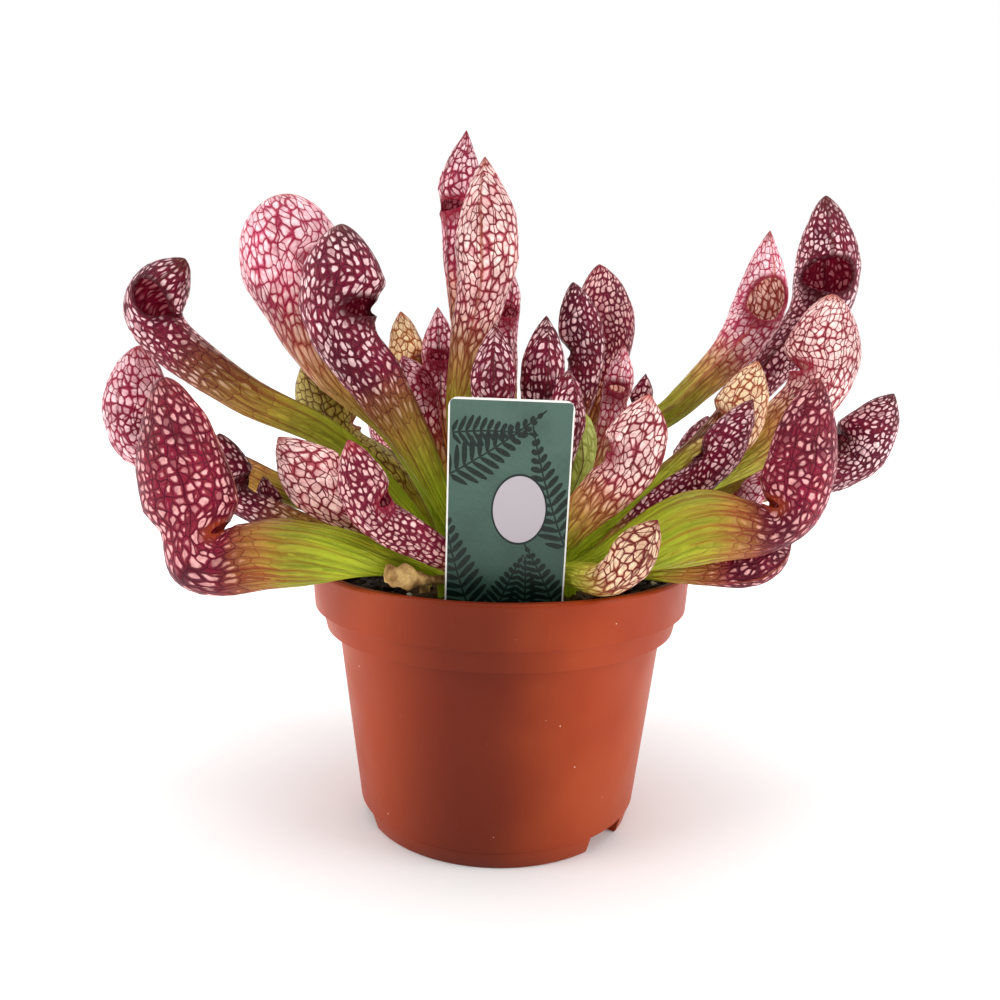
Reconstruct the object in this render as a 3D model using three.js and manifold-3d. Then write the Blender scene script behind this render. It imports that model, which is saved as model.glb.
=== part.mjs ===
// Potted pitcher plant: a clump of hooded pitcher leaves in a nursery pot, with a plant label.
// Millimetres, +Z up. The origin is the centre of the pot's flat underside and -Y is the front.

import * as THREE from 'three';
import { mergeVertices } from 'three/addons/utils/BufferGeometryUtils.js';
import Module from 'manifold-3d';

const wasm = await Module();
wasm.setup();

// ---------------------------------------------------------------- driving dimensions

const GAP = 0.35; // clearance kept between pieces that touch

const POT = {
  rimRadius: 60,
  height: 82.9,
  upperBandBottom: 70,
  lowerBandBottom: 63,
  baseRadius: 42.9,
  bodyTopRadius: 51.9,
  lowerBandRadii: [55.5, 57], // at the bottom and at the top of the lower band
  creaseHeight: 6,
  creaseFlare: 2, // how much wider than its base the pot is at the crease
  wall: 1.2,
  bandWall: 1.4, // thickness of the sloping bands, measured level
  rimWall: 2.7, // thickness of the rim band at its bottom, measured level
  rimLip: 2, // width of the flat top of the rim
  rimEdge: [0.5, 0.8], // slanted outer edge of the rim's top: across and down
  rimDrop: 0.9, // how much narrower the rim band is at its bottom
  footEdge: [0.5, 0.6], // slanted edge of the underside: across and up
  creaseStep: [0.5, 0.4], // step at the crease: across and down
  floor: 1.6,
  draft: 0.04, // how much wider the rim band's inside gets for each unit of height
  sides: 40,
};

// Notches in the outer corner of the base, each with a slot through its back wall.
const DRAIN = { count: 3, heading: -40, length: 16, reach: 6, height: 5.4, slotLength: 9, slotHeight: 2.4 };

const SOIL = { top: 76, pocketTop: 81 }; // the pocket for the crown is cut through the top

// lobes: waves round the rim; wobble: their height; phase: where the first one starts, in radians.
const CROWN = {
  x: 0, y: -7, radius: 34, top: 78, bottom: 68, lobes: 5, wobble: 1, phase: 0.7, steps: 40,
};

const FOOT = { radius: 1.6, depth: 5, holeRadius: 2.9, holeDepth: 6, holeSides: 6, rise: 4 };

const LABEL = {
  width: 32,
  thickness: 0.9,
  top: 136,
  bottom: 58,
  stakeTop: 74,
  stakeWidth: 18,
  cornerRadius: 2.4,
  rimLevelY: -48,
  lean: 9.5,
  slant: 1.1,
  centreX: 1,
};

// What all pitchers have in common. Shares are parts of a whole of 1.
const PITCHER = {
  wall: 0.9, // thickness of the wall round the pocket
  leastRadius: 0.15,
  mouthShare: 0.45, // the mouth's half width as a share of the girth
  upward: 0.6, // how far the mouth's side looks up
  swellTop: 0.75, // power that puts the hood's widest place below its middle
  bellyTop: 1.8, // power that puts the tube's bulge above its middle
  wingFrom: 0.1, // share of the tube below the wing
  wingTop: 1.3, // power that puts the wing's highest place near the mouth
  bulgeFrom: 0.25, // share of the hood's bulge that is there at the mouth
  pocketTip: 0.1, // share of the hood that is solid at its tip
};

// Powers that close the hood: first for a pointed one, then for a round one.
const CLOSING = { rise: [2.1, 3.2], fall: [0.95, 0.55] };

// ---------------------------------------------------------------- finishes

const paint = (color, roughness) =>
  new THREE.MeshStandardMaterial({ color, roughness, metalness: 0 });

const FINISH = {
  pot: () => paint(0xb0502f, 0.55),
  soil: () => paint(0x241a14, 0.95),
  crown: () => paint(0x5a4028, 0.85),
  label: () => paint(0x5f8376, 0.4),
  crimson: () => paint(0x8e2440, 0.4),
  maroon: () => paint(0x6d1f35, 0.4),
  pale: () => paint(0xdc9aa0, 0.4),
  rosy: () => paint(0xc8506e, 0.4),
  golden: () => paint(0xb08a4a, 0.45),
  young: () => paint(0x9aa858, 0.45),
  dry: () => paint(0xb8935c, 0.8),
};

// ---------------------------------------------------------------- mesh helpers

// A closed BufferGeometry from a list of points and a list of triangles.
function meshFrom(points, triangles) {
  const geometry = new THREE.BufferGeometry();
  const flat = points.flatMap((p) => [p.x, p.y, p.z]);
  geometry.setAttribute('position', new THREE.Float32BufferAttribute(flat, 3));
  geometry.setIndex(triangles.flat());
  return geometry;
}

// A closed geometry as a solid for cutting and joining.
function solidFrom(geometry) {
  const bare = geometry.clone();
  bare.deleteAttribute('normal');
  bare.deleteAttribute('uv');
  const merged = mergeVertices(bare, 1e-4);
  return new wasm.Manifold(new wasm.Mesh({
    numProp: 3,
    vertProperties: Float32Array.from(merged.attributes.position.array),
    triVerts: Uint32Array.from(merged.index.array),
  }));
}

// A cut or joined solid back as a geometry.
function geometryFrom(solid) {
  const mesh = solid.getMesh();
  const geometry = new THREE.BufferGeometry();
  geometry.setAttribute('position', new THREE.BufferAttribute(mesh.vertProperties, 3));
  geometry.setIndex(new THREE.BufferAttribute(mesh.triVerts, 1));
  return geometry;
}

// A named piece with its finish.
function piece(name, geometry, finish) {
  const mesh = new THREE.Mesh(geometry, FINISH[finish]());
  mesh.name = name;
  return mesh;
}

// A body of revolution about Z from [radius, height] pairs that start and end on the axis.
function turned(profile, sides) {
  const outline = profile.map(([radius, height]) => new THREE.Vector2(radius, height));
  const geometry = new THREE.LatheGeometry(outline, sides);
  geometry.rotateX(Math.PI / 2);
  return geometry;
}

const smooth = (x) => x * x * (3 - 2 * x);
const clamp01 = (x) => Math.min(1, Math.max(0, x));
const mix = (a, b, k) => a + (b - a) * k;

// ---------------------------------------------------------------- pot

// Inside of the pot as a solid plug, drawn in by a margin, from its floor up to a height.
function potInside(margin, floor, top) {
  const { rimRadius: rim, upperBandBottom: upper, lowerBandBottom: lower } = POT;
  const { baseRadius: base, creaseHeight: crease, wall } = POT;
  const [bandLow, bandHigh] = POT.lowerBandRadii;
  return turned([
    [0, floor],
    [base - wall - margin, floor],
    [base + POT.creaseFlare - wall - margin, crease],
    [POT.bodyTopRadius - POT.bandWall - margin, lower + wall + margin],
    [bandLow - POT.bandWall - margin, lower + wall + margin],
    [bandHigh - POT.bandWall - margin, upper + wall + margin],
    [rim - POT.rimWall - margin, upper + wall + margin],
    [rim - POT.rimWall - margin + POT.draft * (top - upper), top],
    [0, top],
  ], POT.sides);
}

// A block where each drain notch is cut, grown by a margin.
function drainBlocks(margin) {
  const deep = 2 * (DRAIN.reach + margin);
  const high = 2 * (DRAIN.height + margin);
  const block = new THREE.BoxGeometry(deep, DRAIN.length + 2 * margin, high);
  return drainCopies(block.translate(POT.baseRadius + 1, 0, 0));
}

// The slot through the back of each notch.
function drainSlots() {
  const slot = new THREE.BoxGeometry(2 * DRAIN.reach, DRAIN.slotLength, DRAIN.slotHeight);
  return drainCopies(slot.translate(POT.baseRadius - DRAIN.reach, 0, DRAIN.height - DRAIN.slotHeight));
}

// A block copied round the base, once for each notch.
function drainCopies(block) {
  return Array.from({ length: DRAIN.count }, (_, i) => {
    const heading = THREE.MathUtils.degToRad(DRAIN.heading + (360 / DRAIN.count) * i);
    return solidFrom(block.clone().rotateZ(heading));
  });
}

// A thin-walled bowl: two bands under the rim, a tapering body and a notched base.
function potGeometry() {
  const { rimRadius: rim, height, upperBandBottom: upper, lowerBandBottom: lower } = POT;
  const { baseRadius: base, creaseHeight: crease, wall, floor } = POT;
  const { rimEdge, footEdge, creaseStep, creaseFlare } = POT;
  const [bandLow, bandHigh] = POT.lowerBandRadii;
  const outside = solidFrom(turned([
    [0, 0],
    [base - footEdge[0], 0],
    [base, footEdge[1]],
    [base + creaseFlare - creaseStep[0], crease - creaseStep[1]],
    [base + creaseFlare, crease],
    [POT.bodyTopRadius, lower],
    [bandLow, lower],
    [bandHigh, upper],
    [rim - POT.rimDrop, upper],
    [rim, height - rimEdge[1]],
    [rim - rimEdge[0], height],
    [rim - POT.rimLip, height],
    [0, height],
  ], POT.sides));
  let inside = solidFrom(potInside(0, floor, height + 1));
  for (const block of drainBlocks(wall)) inside = inside.subtract(block);
  let bowl = outside.subtract(inside);
  for (const block of [...drainBlocks(0), ...drainSlots()]) bowl = bowl.subtract(block);
  return geometryFrom(bowl);
}

// ---------------------------------------------------------------- crown and soil

// Radius of the crown's lobed outline at a heading.
function crownRadius(angle) {
  return CROWN.radius + CROWN.wobble * Math.sin(CROWN.lobes * angle + CROWN.phase);
}

// The crown as a plain lobed disc, grown outwards by a margin for the pocket in the soil.
function crownDisc(margin, top) {
  const outline = new THREE.Shape();
  for (let i = 0; i < CROWN.steps; i += 1) {
    const angle = (2 * Math.PI * i) / CROWN.steps;
    const radius = crownRadius(angle) + margin;
    const x = CROWN.x + radius * Math.cos(angle);
    const y = CROWN.y + radius * Math.sin(angle);
    if (i === 0) outline.moveTo(x, y);
    else outline.lineTo(x, y);
  }
  outline.closePath();
  const bottom = CROWN.bottom - margin;
  const disc = new THREE.ExtrudeGeometry(outline, { depth: top - bottom, bevelEnabled: false });
  disc.translate(0, 0, bottom);
  return solidFrom(disc);
}

// The rootstock, with one plain hole for the foot of each leaf.
function crownGeometry(feet) {
  let crown = crownDisc(0, CROWN.top);
  for (const [x, y] of feet) {
    const { holeRadius, holeDepth, holeSides } = FOOT;
    const hole = new THREE.CylinderGeometry(holeRadius, holeRadius, holeDepth * 2, holeSides);
    hole.rotateX(Math.PI / 2);
    hole.translate(x, y, CROWN.top);
    crown = crown.subtract(solidFrom(hole));
  }
  return geometryFrom(crown);
}

// The peat, filling the pot, with a pocket for the crown and a slot for the label.
function soilGeometry() {
  let soil = solidFrom(potInside(GAP, POT.floor + GAP, SOIL.top));
  for (const block of drainBlocks(POT.wall + GAP)) soil = soil.subtract(block);
  const pocket = crownDisc(GAP, SOIL.pocketTop);
  const slot = solidFrom(labelGeometry(GAP));
  return geometryFrom(soil.subtract(pocket).subtract(slot));
}

// ---------------------------------------------------------------- plant label

// A card with rounded top corners that narrows to a blunt stake, leaning a little to the front.
function labelGeometry(margin) {
  const half = LABEL.width / 2 + margin;
  const stake = LABEL.stakeWidth / 2 + margin;
  const corner = LABEL.cornerRadius;
  const top = LABEL.top - POT.height;
  const shoulder = LABEL.stakeTop - POT.height;
  const bottom = LABEL.bottom - POT.height - margin;
  const card = new THREE.Shape();
  card.moveTo(-stake, bottom);
  card.lineTo(stake, bottom);
  card.lineTo(half, shoulder);
  card.lineTo(half, top - corner);
  card.absarc(half - corner, top - corner, corner, 0, Math.PI / 2, false);
  card.absarc(corner - half, top - corner, corner, Math.PI / 2, Math.PI, false);
  card.lineTo(-half, shoulder);
  card.closePath();
  const thickness = LABEL.thickness + 2 * margin;
  const plate = new THREE.ExtrudeGeometry(card, {
    depth: thickness, bevelEnabled: false, curveSegments: 4,
  });
  plate.translate(0, 0, -thickness / 2);
  plate.rotateZ(THREE.MathUtils.degToRad(-LABEL.slant));
  plate.rotateX(THREE.MathUtils.degToRad(90 + LABEL.lean));
  plate.translate(LABEL.centreX, LABEL.rimLevelY, POT.height);
  return plate;
}

// ---------------------------------------------------------------- pitcher leaves

// Rows along a leaf: from the foot to the mouth (0..1), then up the hood from mouth to tip (0..1).
const ROWS = {
  large: { tube: [0, 0.06, 0.2, 0.4, 0.6, 0.8, 1], hood: [0.2, 0.45, 0.7, 0.88] },
  small: { tube: [0, 0.08, 0.35, 0.62, 0.84, 1], hood: [0.25, 0.6, 0.85] },
};

// Angles of the columns on one side, from the side that faces the middle of the plant.
const COLUMNS = {
  large: { angles: [0, 22, 50, 88, 134, 180], edge: 2 },
  small: { angles: [0, 36, 84, 134, 180], edge: 1 },
};

// Centreline of a leaf: up out of the crown, through the points on the way, the mouth and the tip.
function centreline(leaf) {
  const [x, y] = leaf.foot;
  const points = [
    new THREE.Vector3(x, y, CROWN.top - FOOT.depth),
    new THREE.Vector3(x, y, CROWN.top + FOOT.rise),
    ...leaf.way.map((p) => new THREE.Vector3(...p)),
    new THREE.Vector3(...leaf.mouth),
    new THREE.Vector3(...leaf.tip),
  ];
  const curve = new THREE.CatmullRomCurve3(points, false, 'centripetal');
  curve.arcLengthDivisions = 400;
  const lengths = curve.getLengths();
  const mouthIndex = Math.round((lengths.length - 1) * (points.length - 2) / (points.length - 1));
  return { curve, mouthAt: lengths[mouthIndex] / lengths[lengths.length - 1] };
}

// Half width of the tube at a part x of the way from the foot to the mouth.
function tubeRadius(leaf, x) {
  const full = PITCHER.mouthShare * leaf.girth;
  const belly = leaf.belly * Math.sin(Math.PI * x ** PITCHER.bellyTop) ** 2;
  return FOOT.radius + (full - FOOT.radius) * x ** leaf.flare + belly;
}

// Half width of the hood at a part h of the way from the mouth to the tip.
function hoodRadius(leaf, h) {
  const full = PITCHER.mouthShare * leaf.girth;
  const swell = 1 + leaf.swell * Math.sin(Math.PI * h ** PITCHER.swellTop);
  const close = (1 - h ** mix(...CLOSING.rise, leaf.dome)) ** mix(...CLOSING.fall, leaf.dome);
  return full * swell * close;
}

// Height of the wing above the tube at a part x of the way from the foot to the mouth.
function wingHeight(leaf, x) {
  const above = clamp01((x - PITCHER.wingFrom) / (1 - PITCHER.wingFrom));
  return leaf.wing * Math.sin(Math.PI * above ** PITCHER.wingTop);
}

// One ring of a leaf: its centre, its directions and its size.
function ringOf(leaf, line, part) {
  const onHood = part.hood !== undefined;
  const along = onHood ? mix(line.mouthAt, 1, part.hood) : line.mouthAt * part.tube;
  const centre = line.curve.getPointAt(along);
  const forward = line.curve.getTangentAt(along);
  const facing = THREE.MathUtils.degToRad(leaf.face);
  const inner = new THREE.Vector3(Math.cos(facing), Math.sin(facing), PITCHER.upward);
  inner.addScaledVector(forward, -inner.dot(forward)).normalize();
  const side = new THREE.Vector3().crossVectors(forward, inner);
  const radius = onHood ? hoodRadius(leaf, part.hood) : tubeRadius(leaf, part.tube);
  return { centre, inner, side, radius, onHood, part };
}

// A point of a ring: the wing stands out below the mouth, and the hood bulges over it.
function ringPoint(leaf, ring, degrees, inset) {
  const angle = THREE.MathUtils.degToRad(degrees);
  const facing = Math.max(0, Math.cos(angle));
  const radius = Math.max(PITCHER.leastRadius, ring.radius - inset);
  let reach = radius * Math.cos(angle);
  if (ring.onHood) {
    const bulge = leaf.beak * Math.sin(Math.PI * mix(PITCHER.bulgeFrom, 1, ring.part.hood));
    reach += radius * bulge * facing;
  } else if (degrees === 0 && inset === 0) {
    reach += wingHeight(leaf, ring.part.tube);
  }
  return ring.centre.clone()
    .addScaledVector(ring.side, radius * Math.sin(angle))
    .addScaledVector(ring.inner, reach);
}

// A hooded pitcher: an outer skin, a pocket under the hood and a mouth that joins the two.
function pitcherGeometry(leaf) {
  const rows = ROWS[leaf.size];
  const { angles, edge } = COLUMNS[leaf.size];
  const half = angles.length - 1;
  const turns = [...angles, ...angles.slice(1, -1).reverse().map((a) => -a)];
  const count = turns.length;
  const line = centreline(leaf);
  const parts = [...rows.tube.map((tube) => ({ tube })), ...rows.hood.map((hood) => ({ hood }))];
  const lip = rows.tube.length - 1;
  const shut = lip + leaf.openRows;
  const points = [];
  const triangles = [];

  // One skin as rows of points, with its first row, its inset and which way its faces turn.
  const skin = (firstRow, inset, flip) => {
    const grid = parts.map((part, row) => {
      if (row < firstRow) return null;
      const ring = ringOf(leaf, line, part);
      return turns.map((degrees) => points.push(ringPoint(leaf, ring, degrees, inset)) - 1);
    });
    const face = (a, b, c) => triangles.push(flip ? [a, c, b] : [a, b, c]);
    const inMouth = (row, column) => {
      const nearFront = column < edge || column >= count - edge;
      return row >= lip && row < shut && nearFront;
    };
    for (let row = firstRow; row < parts.length - 1; row += 1) {
      for (let column = 0; column < count; column += 1) {
        const next = (column + 1) % count;
        const [a, b] = [grid[row][column], grid[row][next]];
        const [c, d] = [grid[row + 1][column], grid[row + 1][next]];
        if (!inMouth(row, column)) {
          if (column < half) {
            face(a, b, d);
            face(a, d, c);
          } else {
            face(a, b, c);
            face(b, d, c);
          }
        }
      }
    }
    const tipDepth = inset === 0 ? 0 : PITCHER.pocketTip;
    const tip = points.push(line.curve.getPointAt(1 - tipDepth * (1 - line.mouthAt))) - 1;
    const floorRow = grid[firstRow];
    const last = grid[parts.length - 1];
    const floor = points.push(ringOf(leaf, line, parts[firstRow]).centre.clone()) - 1;
    for (let column = 0; column < count; column += 1) {
      const next = (column + 1) % count;
      face(last[column], last[next], tip);
      face(floorRow[next], floorRow[column], floor);
    }
    return grid;
  };

  const outer = skin(0, 0, false);
  const inner = skin(lip - 1, PITCHER.wall, true);

  // The rim of the mouth, from one skin to the other, all round the opening.
  const rim = [];
  for (let row = lip; row < shut; row += 1) rim.push([row, edge]);
  for (let column = edge; column > -edge; column -= 1) rim.push([shut, (column + count) % count]);
  for (let row = shut; row > lip; row -= 1) rim.push([row, count - edge]);
  for (let column = -edge; column < edge; column += 1) rim.push([lip, (column + count) % count]);
  rim.forEach(([row, column], i) => {
    const [nextRow, nextColumn] = rim[(i + 1) % rim.length];
    const [a, b] = [outer[row][column], outer[nextRow][nextColumn]];
    const [c, d] = [inner[row][column], inner[nextRow][nextColumn]];
    triangles.push([a, b, c], [b, d, c]);
  });
  return meshFrom(points, triangles);
}

// Every leaf, with what most of them share filled in.
const COMMON = {
  flare: 2, dome: 0.3, swell: 0.1, belly: 0, beak: 0.12, wing: 1.5, openRows: 1, size: 'small',
};
const leafOf = (values) => ({ ...COMMON, ...values });

// foot: where it stands in the crown; way, mouth and tip: points that it passes; face: the heading,
// in degrees from +X, that its mouth looks to; girth: the head's width across; flare: how late the
// tube widens; dome: 0 for a pointed hood, 1 for a round one; swell: how much the hood widens above
// the mouth; belly: how far the tube bulges below it; beak: how far the hood stands out over it;
// openRows: rows of the hood that are open.
const LEFT = [
  { foot: [-17, -31], way: [[-36, -44, 91], [-58, -46, 92]], mouth: [-78, -46, 93], tip: [-91, -43, 139],
    face: 10, girth: 21, flare: 1.5, dome: 1, swell: 0.3, belly: 2.4, beak: 0.05, wing: 1,
    size: 'large', finish: 'crimson' },
  { foot: [-17, -13], way: [[-48, -13, 119], [-81, -14, 136]], mouth: [-105, -14, 157],
    tip: [-93, -19, 173], face: -45, girth: 17, flare: 1.1, dome: 0.6, beak: 0.15, wing: 2.5,
    openRows: 3, size: 'large', finish: 'maroon' },
  { foot: [-25, -1], way: [[-85, 10, 106]], mouth: [-120, 12, 119], tip: [-120, 12, 149],
    face: 0, girth: 21, dome: 0.8, finish: 'rosy' },
  { foot: [-23, -19], way: [[-58, -12, 92]], mouth: [-84, -8, 104], tip: [-88, -8, 122],
    face: -15, girth: 13, beak: 0.45, dome: 0.6, finish: 'maroon' },
  { foot: [-16, 3], way: [[-35, 5, 120], [-57, 6, 144]], mouth: [-67, 6, 171], tip: [-70, 7, 196.5],
    face: 10, girth: 34, flare: 3, dome: 0.95, swell: 0.03, beak: 0.03, size: 'large', finish: 'pale' },
  { foot: [-10, -14], way: [[-25, -18, 116], [-36, -20, 135]], mouth: [-46, -22, 155],
    tip: [-47, -22, 183], face: -15, girth: 25, wing: 2.5, dome: 0.7, size: 'large', finish: 'maroon' },
  { foot: [-21, 9], way: [[-36, 16, 106]], mouth: [-55, 20, 118], tip: [-67, 21, 147],
    face: 20, girth: 21, dome: 0.5, finish: 'golden' },
  { foot: [-16, -24], way: [[-34, -31, 97]], mouth: [-49, -34, 107], tip: [-63, -34, 123],
    face: 30, girth: 17, beak: 0.3, finish: 'pale' },
  { foot: [-3, -35], way: [[-19, -45, 94]], mouth: [-33, -50, 105], tip: [-40, -53, 124],
    face: -20, girth: 15, flare: 1.4, beak: 0, finish: 'rosy' },
  { foot: [-29, -9], way: [[-55, -3, 90]], mouth: [-73, 0, 96], tip: [-77, 0, 108],
    face: 0, girth: 9, finish: 'maroon' },
];

const MIDDLE = [
  { foot: [-5, -5], way: [[-14, -7, 125], [-11, -8, 150]], mouth: [-6, -10, 174], tip: [-7, -10, 205],
    face: 80, girth: 20, size: 'large', dome: 0.1, finish: 'pale' },
  { foot: [-6, 9], way: [[-14, 19, 160]], mouth: [-16, 22, 194], tip: [-14, 22, 221],
    face: -105, girth: 16, size: 'large', dome: 0, finish: 'rosy' },
  { foot: [2, 10], way: [[1, 22, 130]], mouth: [-1, 26, 160], tip: [0, 27, 182],
    face: -60, girth: 13, dome: 0, finish: 'rosy' },
  { foot: [-1, -14], way: [[-3, -21, 112]], mouth: [-3, -24, 136], tip: [-3, -24, 156],
    face: 90, girth: 14, dome: 0.1, finish: 'maroon' },
  { foot: [6, -8], way: [[9, -13, 112]], mouth: [11, -16, 137], tip: [12, -16, 159],
    face: 100, girth: 14, dome: 0.2, finish: 'maroon' },
  { foot: [7, -20], way: [[14, -25, 106]], mouth: [18, -26, 126], tip: [18, -26, 143],
    face: 120, girth: 11, dome: 0.5, finish: 'maroon' },
  { foot: [10, -1], way: [[21, 2, 122]], mouth: [25, 4, 147], tip: [21, 4, 171],
    face: 180, girth: 14, dome: 0.6, finish: 'maroon' },
  { foot: [10, 9], way: [[25, 16, 122]], mouth: [34, 22, 152], tip: [31, 22, 179],
    face: -105, girth: 20, dome: 0.6, size: 'large', finish: 'rosy' },
  { foot: [15, -6], way: [[29, 0, 112]], mouth: [36, 4, 136], tip: [38, 5, 152],
    face: -95, girth: 10, dome: 0, finish: 'pale' },
  { foot: [16, 5], way: [[33, 15, 110]], mouth: [45, 15, 131], tip: [47, 15, 143],
    face: 180, girth: 8, dome: 0, finish: 'maroon' },
  { foot: [9, -26], way: [[19, -36, 98]], mouth: [34, -41, 118], tip: [39, -42, 137],
    face: 150, girth: 17.5, size: 'large', flare: 1.4, finish: 'pale' },
  { foot: [14, -13], way: [[20, -10, 104]], mouth: [24, -9, 117], tip: [23, -9, 131],
    face: 90, girth: 10, dome: 1, finish: 'young' },
  { foot: [-9, 2], way: [[-19, 7, 122]], mouth: [-21, 10, 145], tip: [-22, 10, 163],
    face: -90, girth: 13, dome: 0, finish: 'rosy' },
  { foot: [-12, 11], way: [[-26, 16, 120]], mouth: [-32, 18, 143], tip: [-35, 18, 162],
    face: -20, girth: 12, dome: 0.4, finish: 'golden' },
  { foot: [-11, -7], way: [[-22, -3, 118]], mouth: [-27, -2, 134], tip: [-32, -2, 147],
    face: -40, girth: 13, openRows: 2, dome: 0.2, finish: 'rosy' },
];

const RIGHT = [
  { foot: [21, -1], way: [[38, 8, 117], [58, 9, 134]], mouth: [80, 10, 160], tip: [84, 10, 189],
    face: -80, girth: 18, openRows: 2, size: 'large', dome: 0, wing: 2.5, finish: 'pale' },
  { foot: [18, 12], way: [[66, 20, 118], [90, 22, 145]], mouth: [107, 24, 169], tip: [106, 24, 203],
    face: -105, girth: 22, openRows: 2, size: 'large', dome: 0.5, finish: 'maroon' },
  { foot: [22, -8], way: [[60, -6, 108], [82, -5, 122]], mouth: [96, -5, 141], tip: [100, -5, 168],
    face: -165, girth: 22, dome: 0.7, size: 'large', finish: 'pale' },
  { foot: [15, -31], way: [[33, -42, 93], [53, -45, 101]], mouth: [74, -46, 104], tip: [83, -44, 142],
    face: 170, girth: 15.5, flare: 1.4, dome: 1, swell: 0.33, belly: 4.8, beak: 0.05, wing: 1,
    size: 'large', finish: 'crimson' },
  { foot: [29, -4], way: [[80, 1, 106]], mouth: [112, 4, 117], tip: [125, 4, 138],
    face: 175, girth: 18, beak: 0.25, dome: 0.4, finish: 'maroon' },
  { foot: [20, -14], way: [[50, -15, 108]], mouth: [68, -16, 126], tip: [75, -16, 147],
    face: 180, girth: 16, dome: 0.4, finish: 'golden' },
  { foot: [25, -20], way: [[42, -26, 100]], mouth: [58, -30, 116], tip: [70, -31, 136],
    face: 170, girth: 12.5, flare: 1.2, finish: 'maroon' },
  { foot: [27, -13], way: [[58, -22, 98]], mouth: [70, -26, 106], tip: [78, -28, 117],
    face: 150, girth: 8, finish: 'pale' },
  { foot: [21, -28], way: [[36, -33, 87], [50, -36, 88]], mouth: [69, -36, 89.5], tip: [82, -35, 97],
    face: 90, girth: 14, flare: 1.6, finish: 'crimson' },
  { foot: [6, -36], way: [[17, -41, 87], [27, -54, 88.5]], mouth: [32, -59, 94], tip: [39, -62, 106],
    face: 90, girth: 12, flare: 1.4, finish: 'golden' },
];

const BACK = [
  { foot: [-8, 19], way: [[-13, 42, 98]], mouth: [-17, 66, 110], tip: [-17, 72, 140],
    face: -80, girth: 22, wing: 5, size: 'large', dome: 0.5, finish: 'crimson' },
  { foot: [6, 19], way: [[11, 44, 96]], mouth: [16, 78, 104], tip: [17, 86, 132],
    face: -100, girth: 22, wing: 5, size: 'large', dome: 0.5, finish: 'maroon' },
  { foot: [13, 17], way: [[29, 40, 106]], mouth: [38, 58, 120], tip: [41, 62, 145],
    face: -120, girth: 18, dome: 0.5, finish: 'golden' },
  { foot: [-17, 16], way: [[-32, 38, 106]], mouth: [-42, 54, 118], tip: [-47, 60, 142],
    face: -50, girth: 18, dome: 0.6, finish: 'rosy' },
  { foot: [25, 8], way: [[52, 34, 96]], mouth: [71, 52, 104], tip: [78, 56, 128],
    face: -145, girth: 18, beak: 0.25, dome: 0.5, finish: 'maroon' },
  { foot: [-27, 5], way: [[-48, 34, 96]], mouth: [-63, 54, 104], tip: [-68, 59, 127],
    face: -40, girth: 17, dome: 0.4, finish: 'pale' },
  { foot: [-1, 17], way: [[-3, 33, 120]], mouth: [-5, 42, 151], tip: [-5, 45, 178],
    face: -90, girth: 17, dome: 0.2, finish: 'rosy' },
];

// Leaves that have died back: a flattened stalk that ends in a crumpled scrap.
// width, height: half sizes of the scrap; crumple: how deep its folds are.
const DRIED = [
  { foot: [-10, -33], way: [[-20, -45, 85.5]], end: [-31, -52, 88.5], width: 3.8, height: 3.4,
    crumple: 0.16, scrapFrom: 0.62 },
  { foot: [-23, -26], way: [[-40, -30, 92]], end: [-62, -33, 99], width: 4.5, height: 1.8,
    crumple: 0.22, scrapFrom: 0.55 },
];

// openOver: share of the length over which a stalk widens to its scrap; closeFrom and closeOver: where
// the scrap's end closes; flat: how high a stalk is for its width; up: the scrap's upper side.
const DRIED_FORM = { openOver: 0.25, closeFrom: 0.85, closeOver: 0.2, flat: 0.8, up: [0.1, 0.2, 1] };
const DRIED_ROWS = [0, 0.12, 0.35, 0.55, 0.68, 0.8, 0.92];
const DRIED_SIDES = 8;

// How far a dried leaf has widened from its stalk to its scrap at a part u of its length.
function driedOpening(leaf, u) {
  return smooth(clamp01((u - leaf.scrapFrom) / DRIED_FORM.openOver));
}

// Half width and half height of a dried leaf at a part u of its length.
function driedSize(leaf, u) {
  const { closeFrom, closeOver, flat } = DRIED_FORM;
  const open = driedOpening(leaf, u);
  const close = Math.sqrt(1 - clamp01((u - closeFrom) / closeOver));
  return [mix(FOOT.radius, leaf.width, open) * close, mix(FOOT.radius * flat, leaf.height, open) * close];
}

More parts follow.
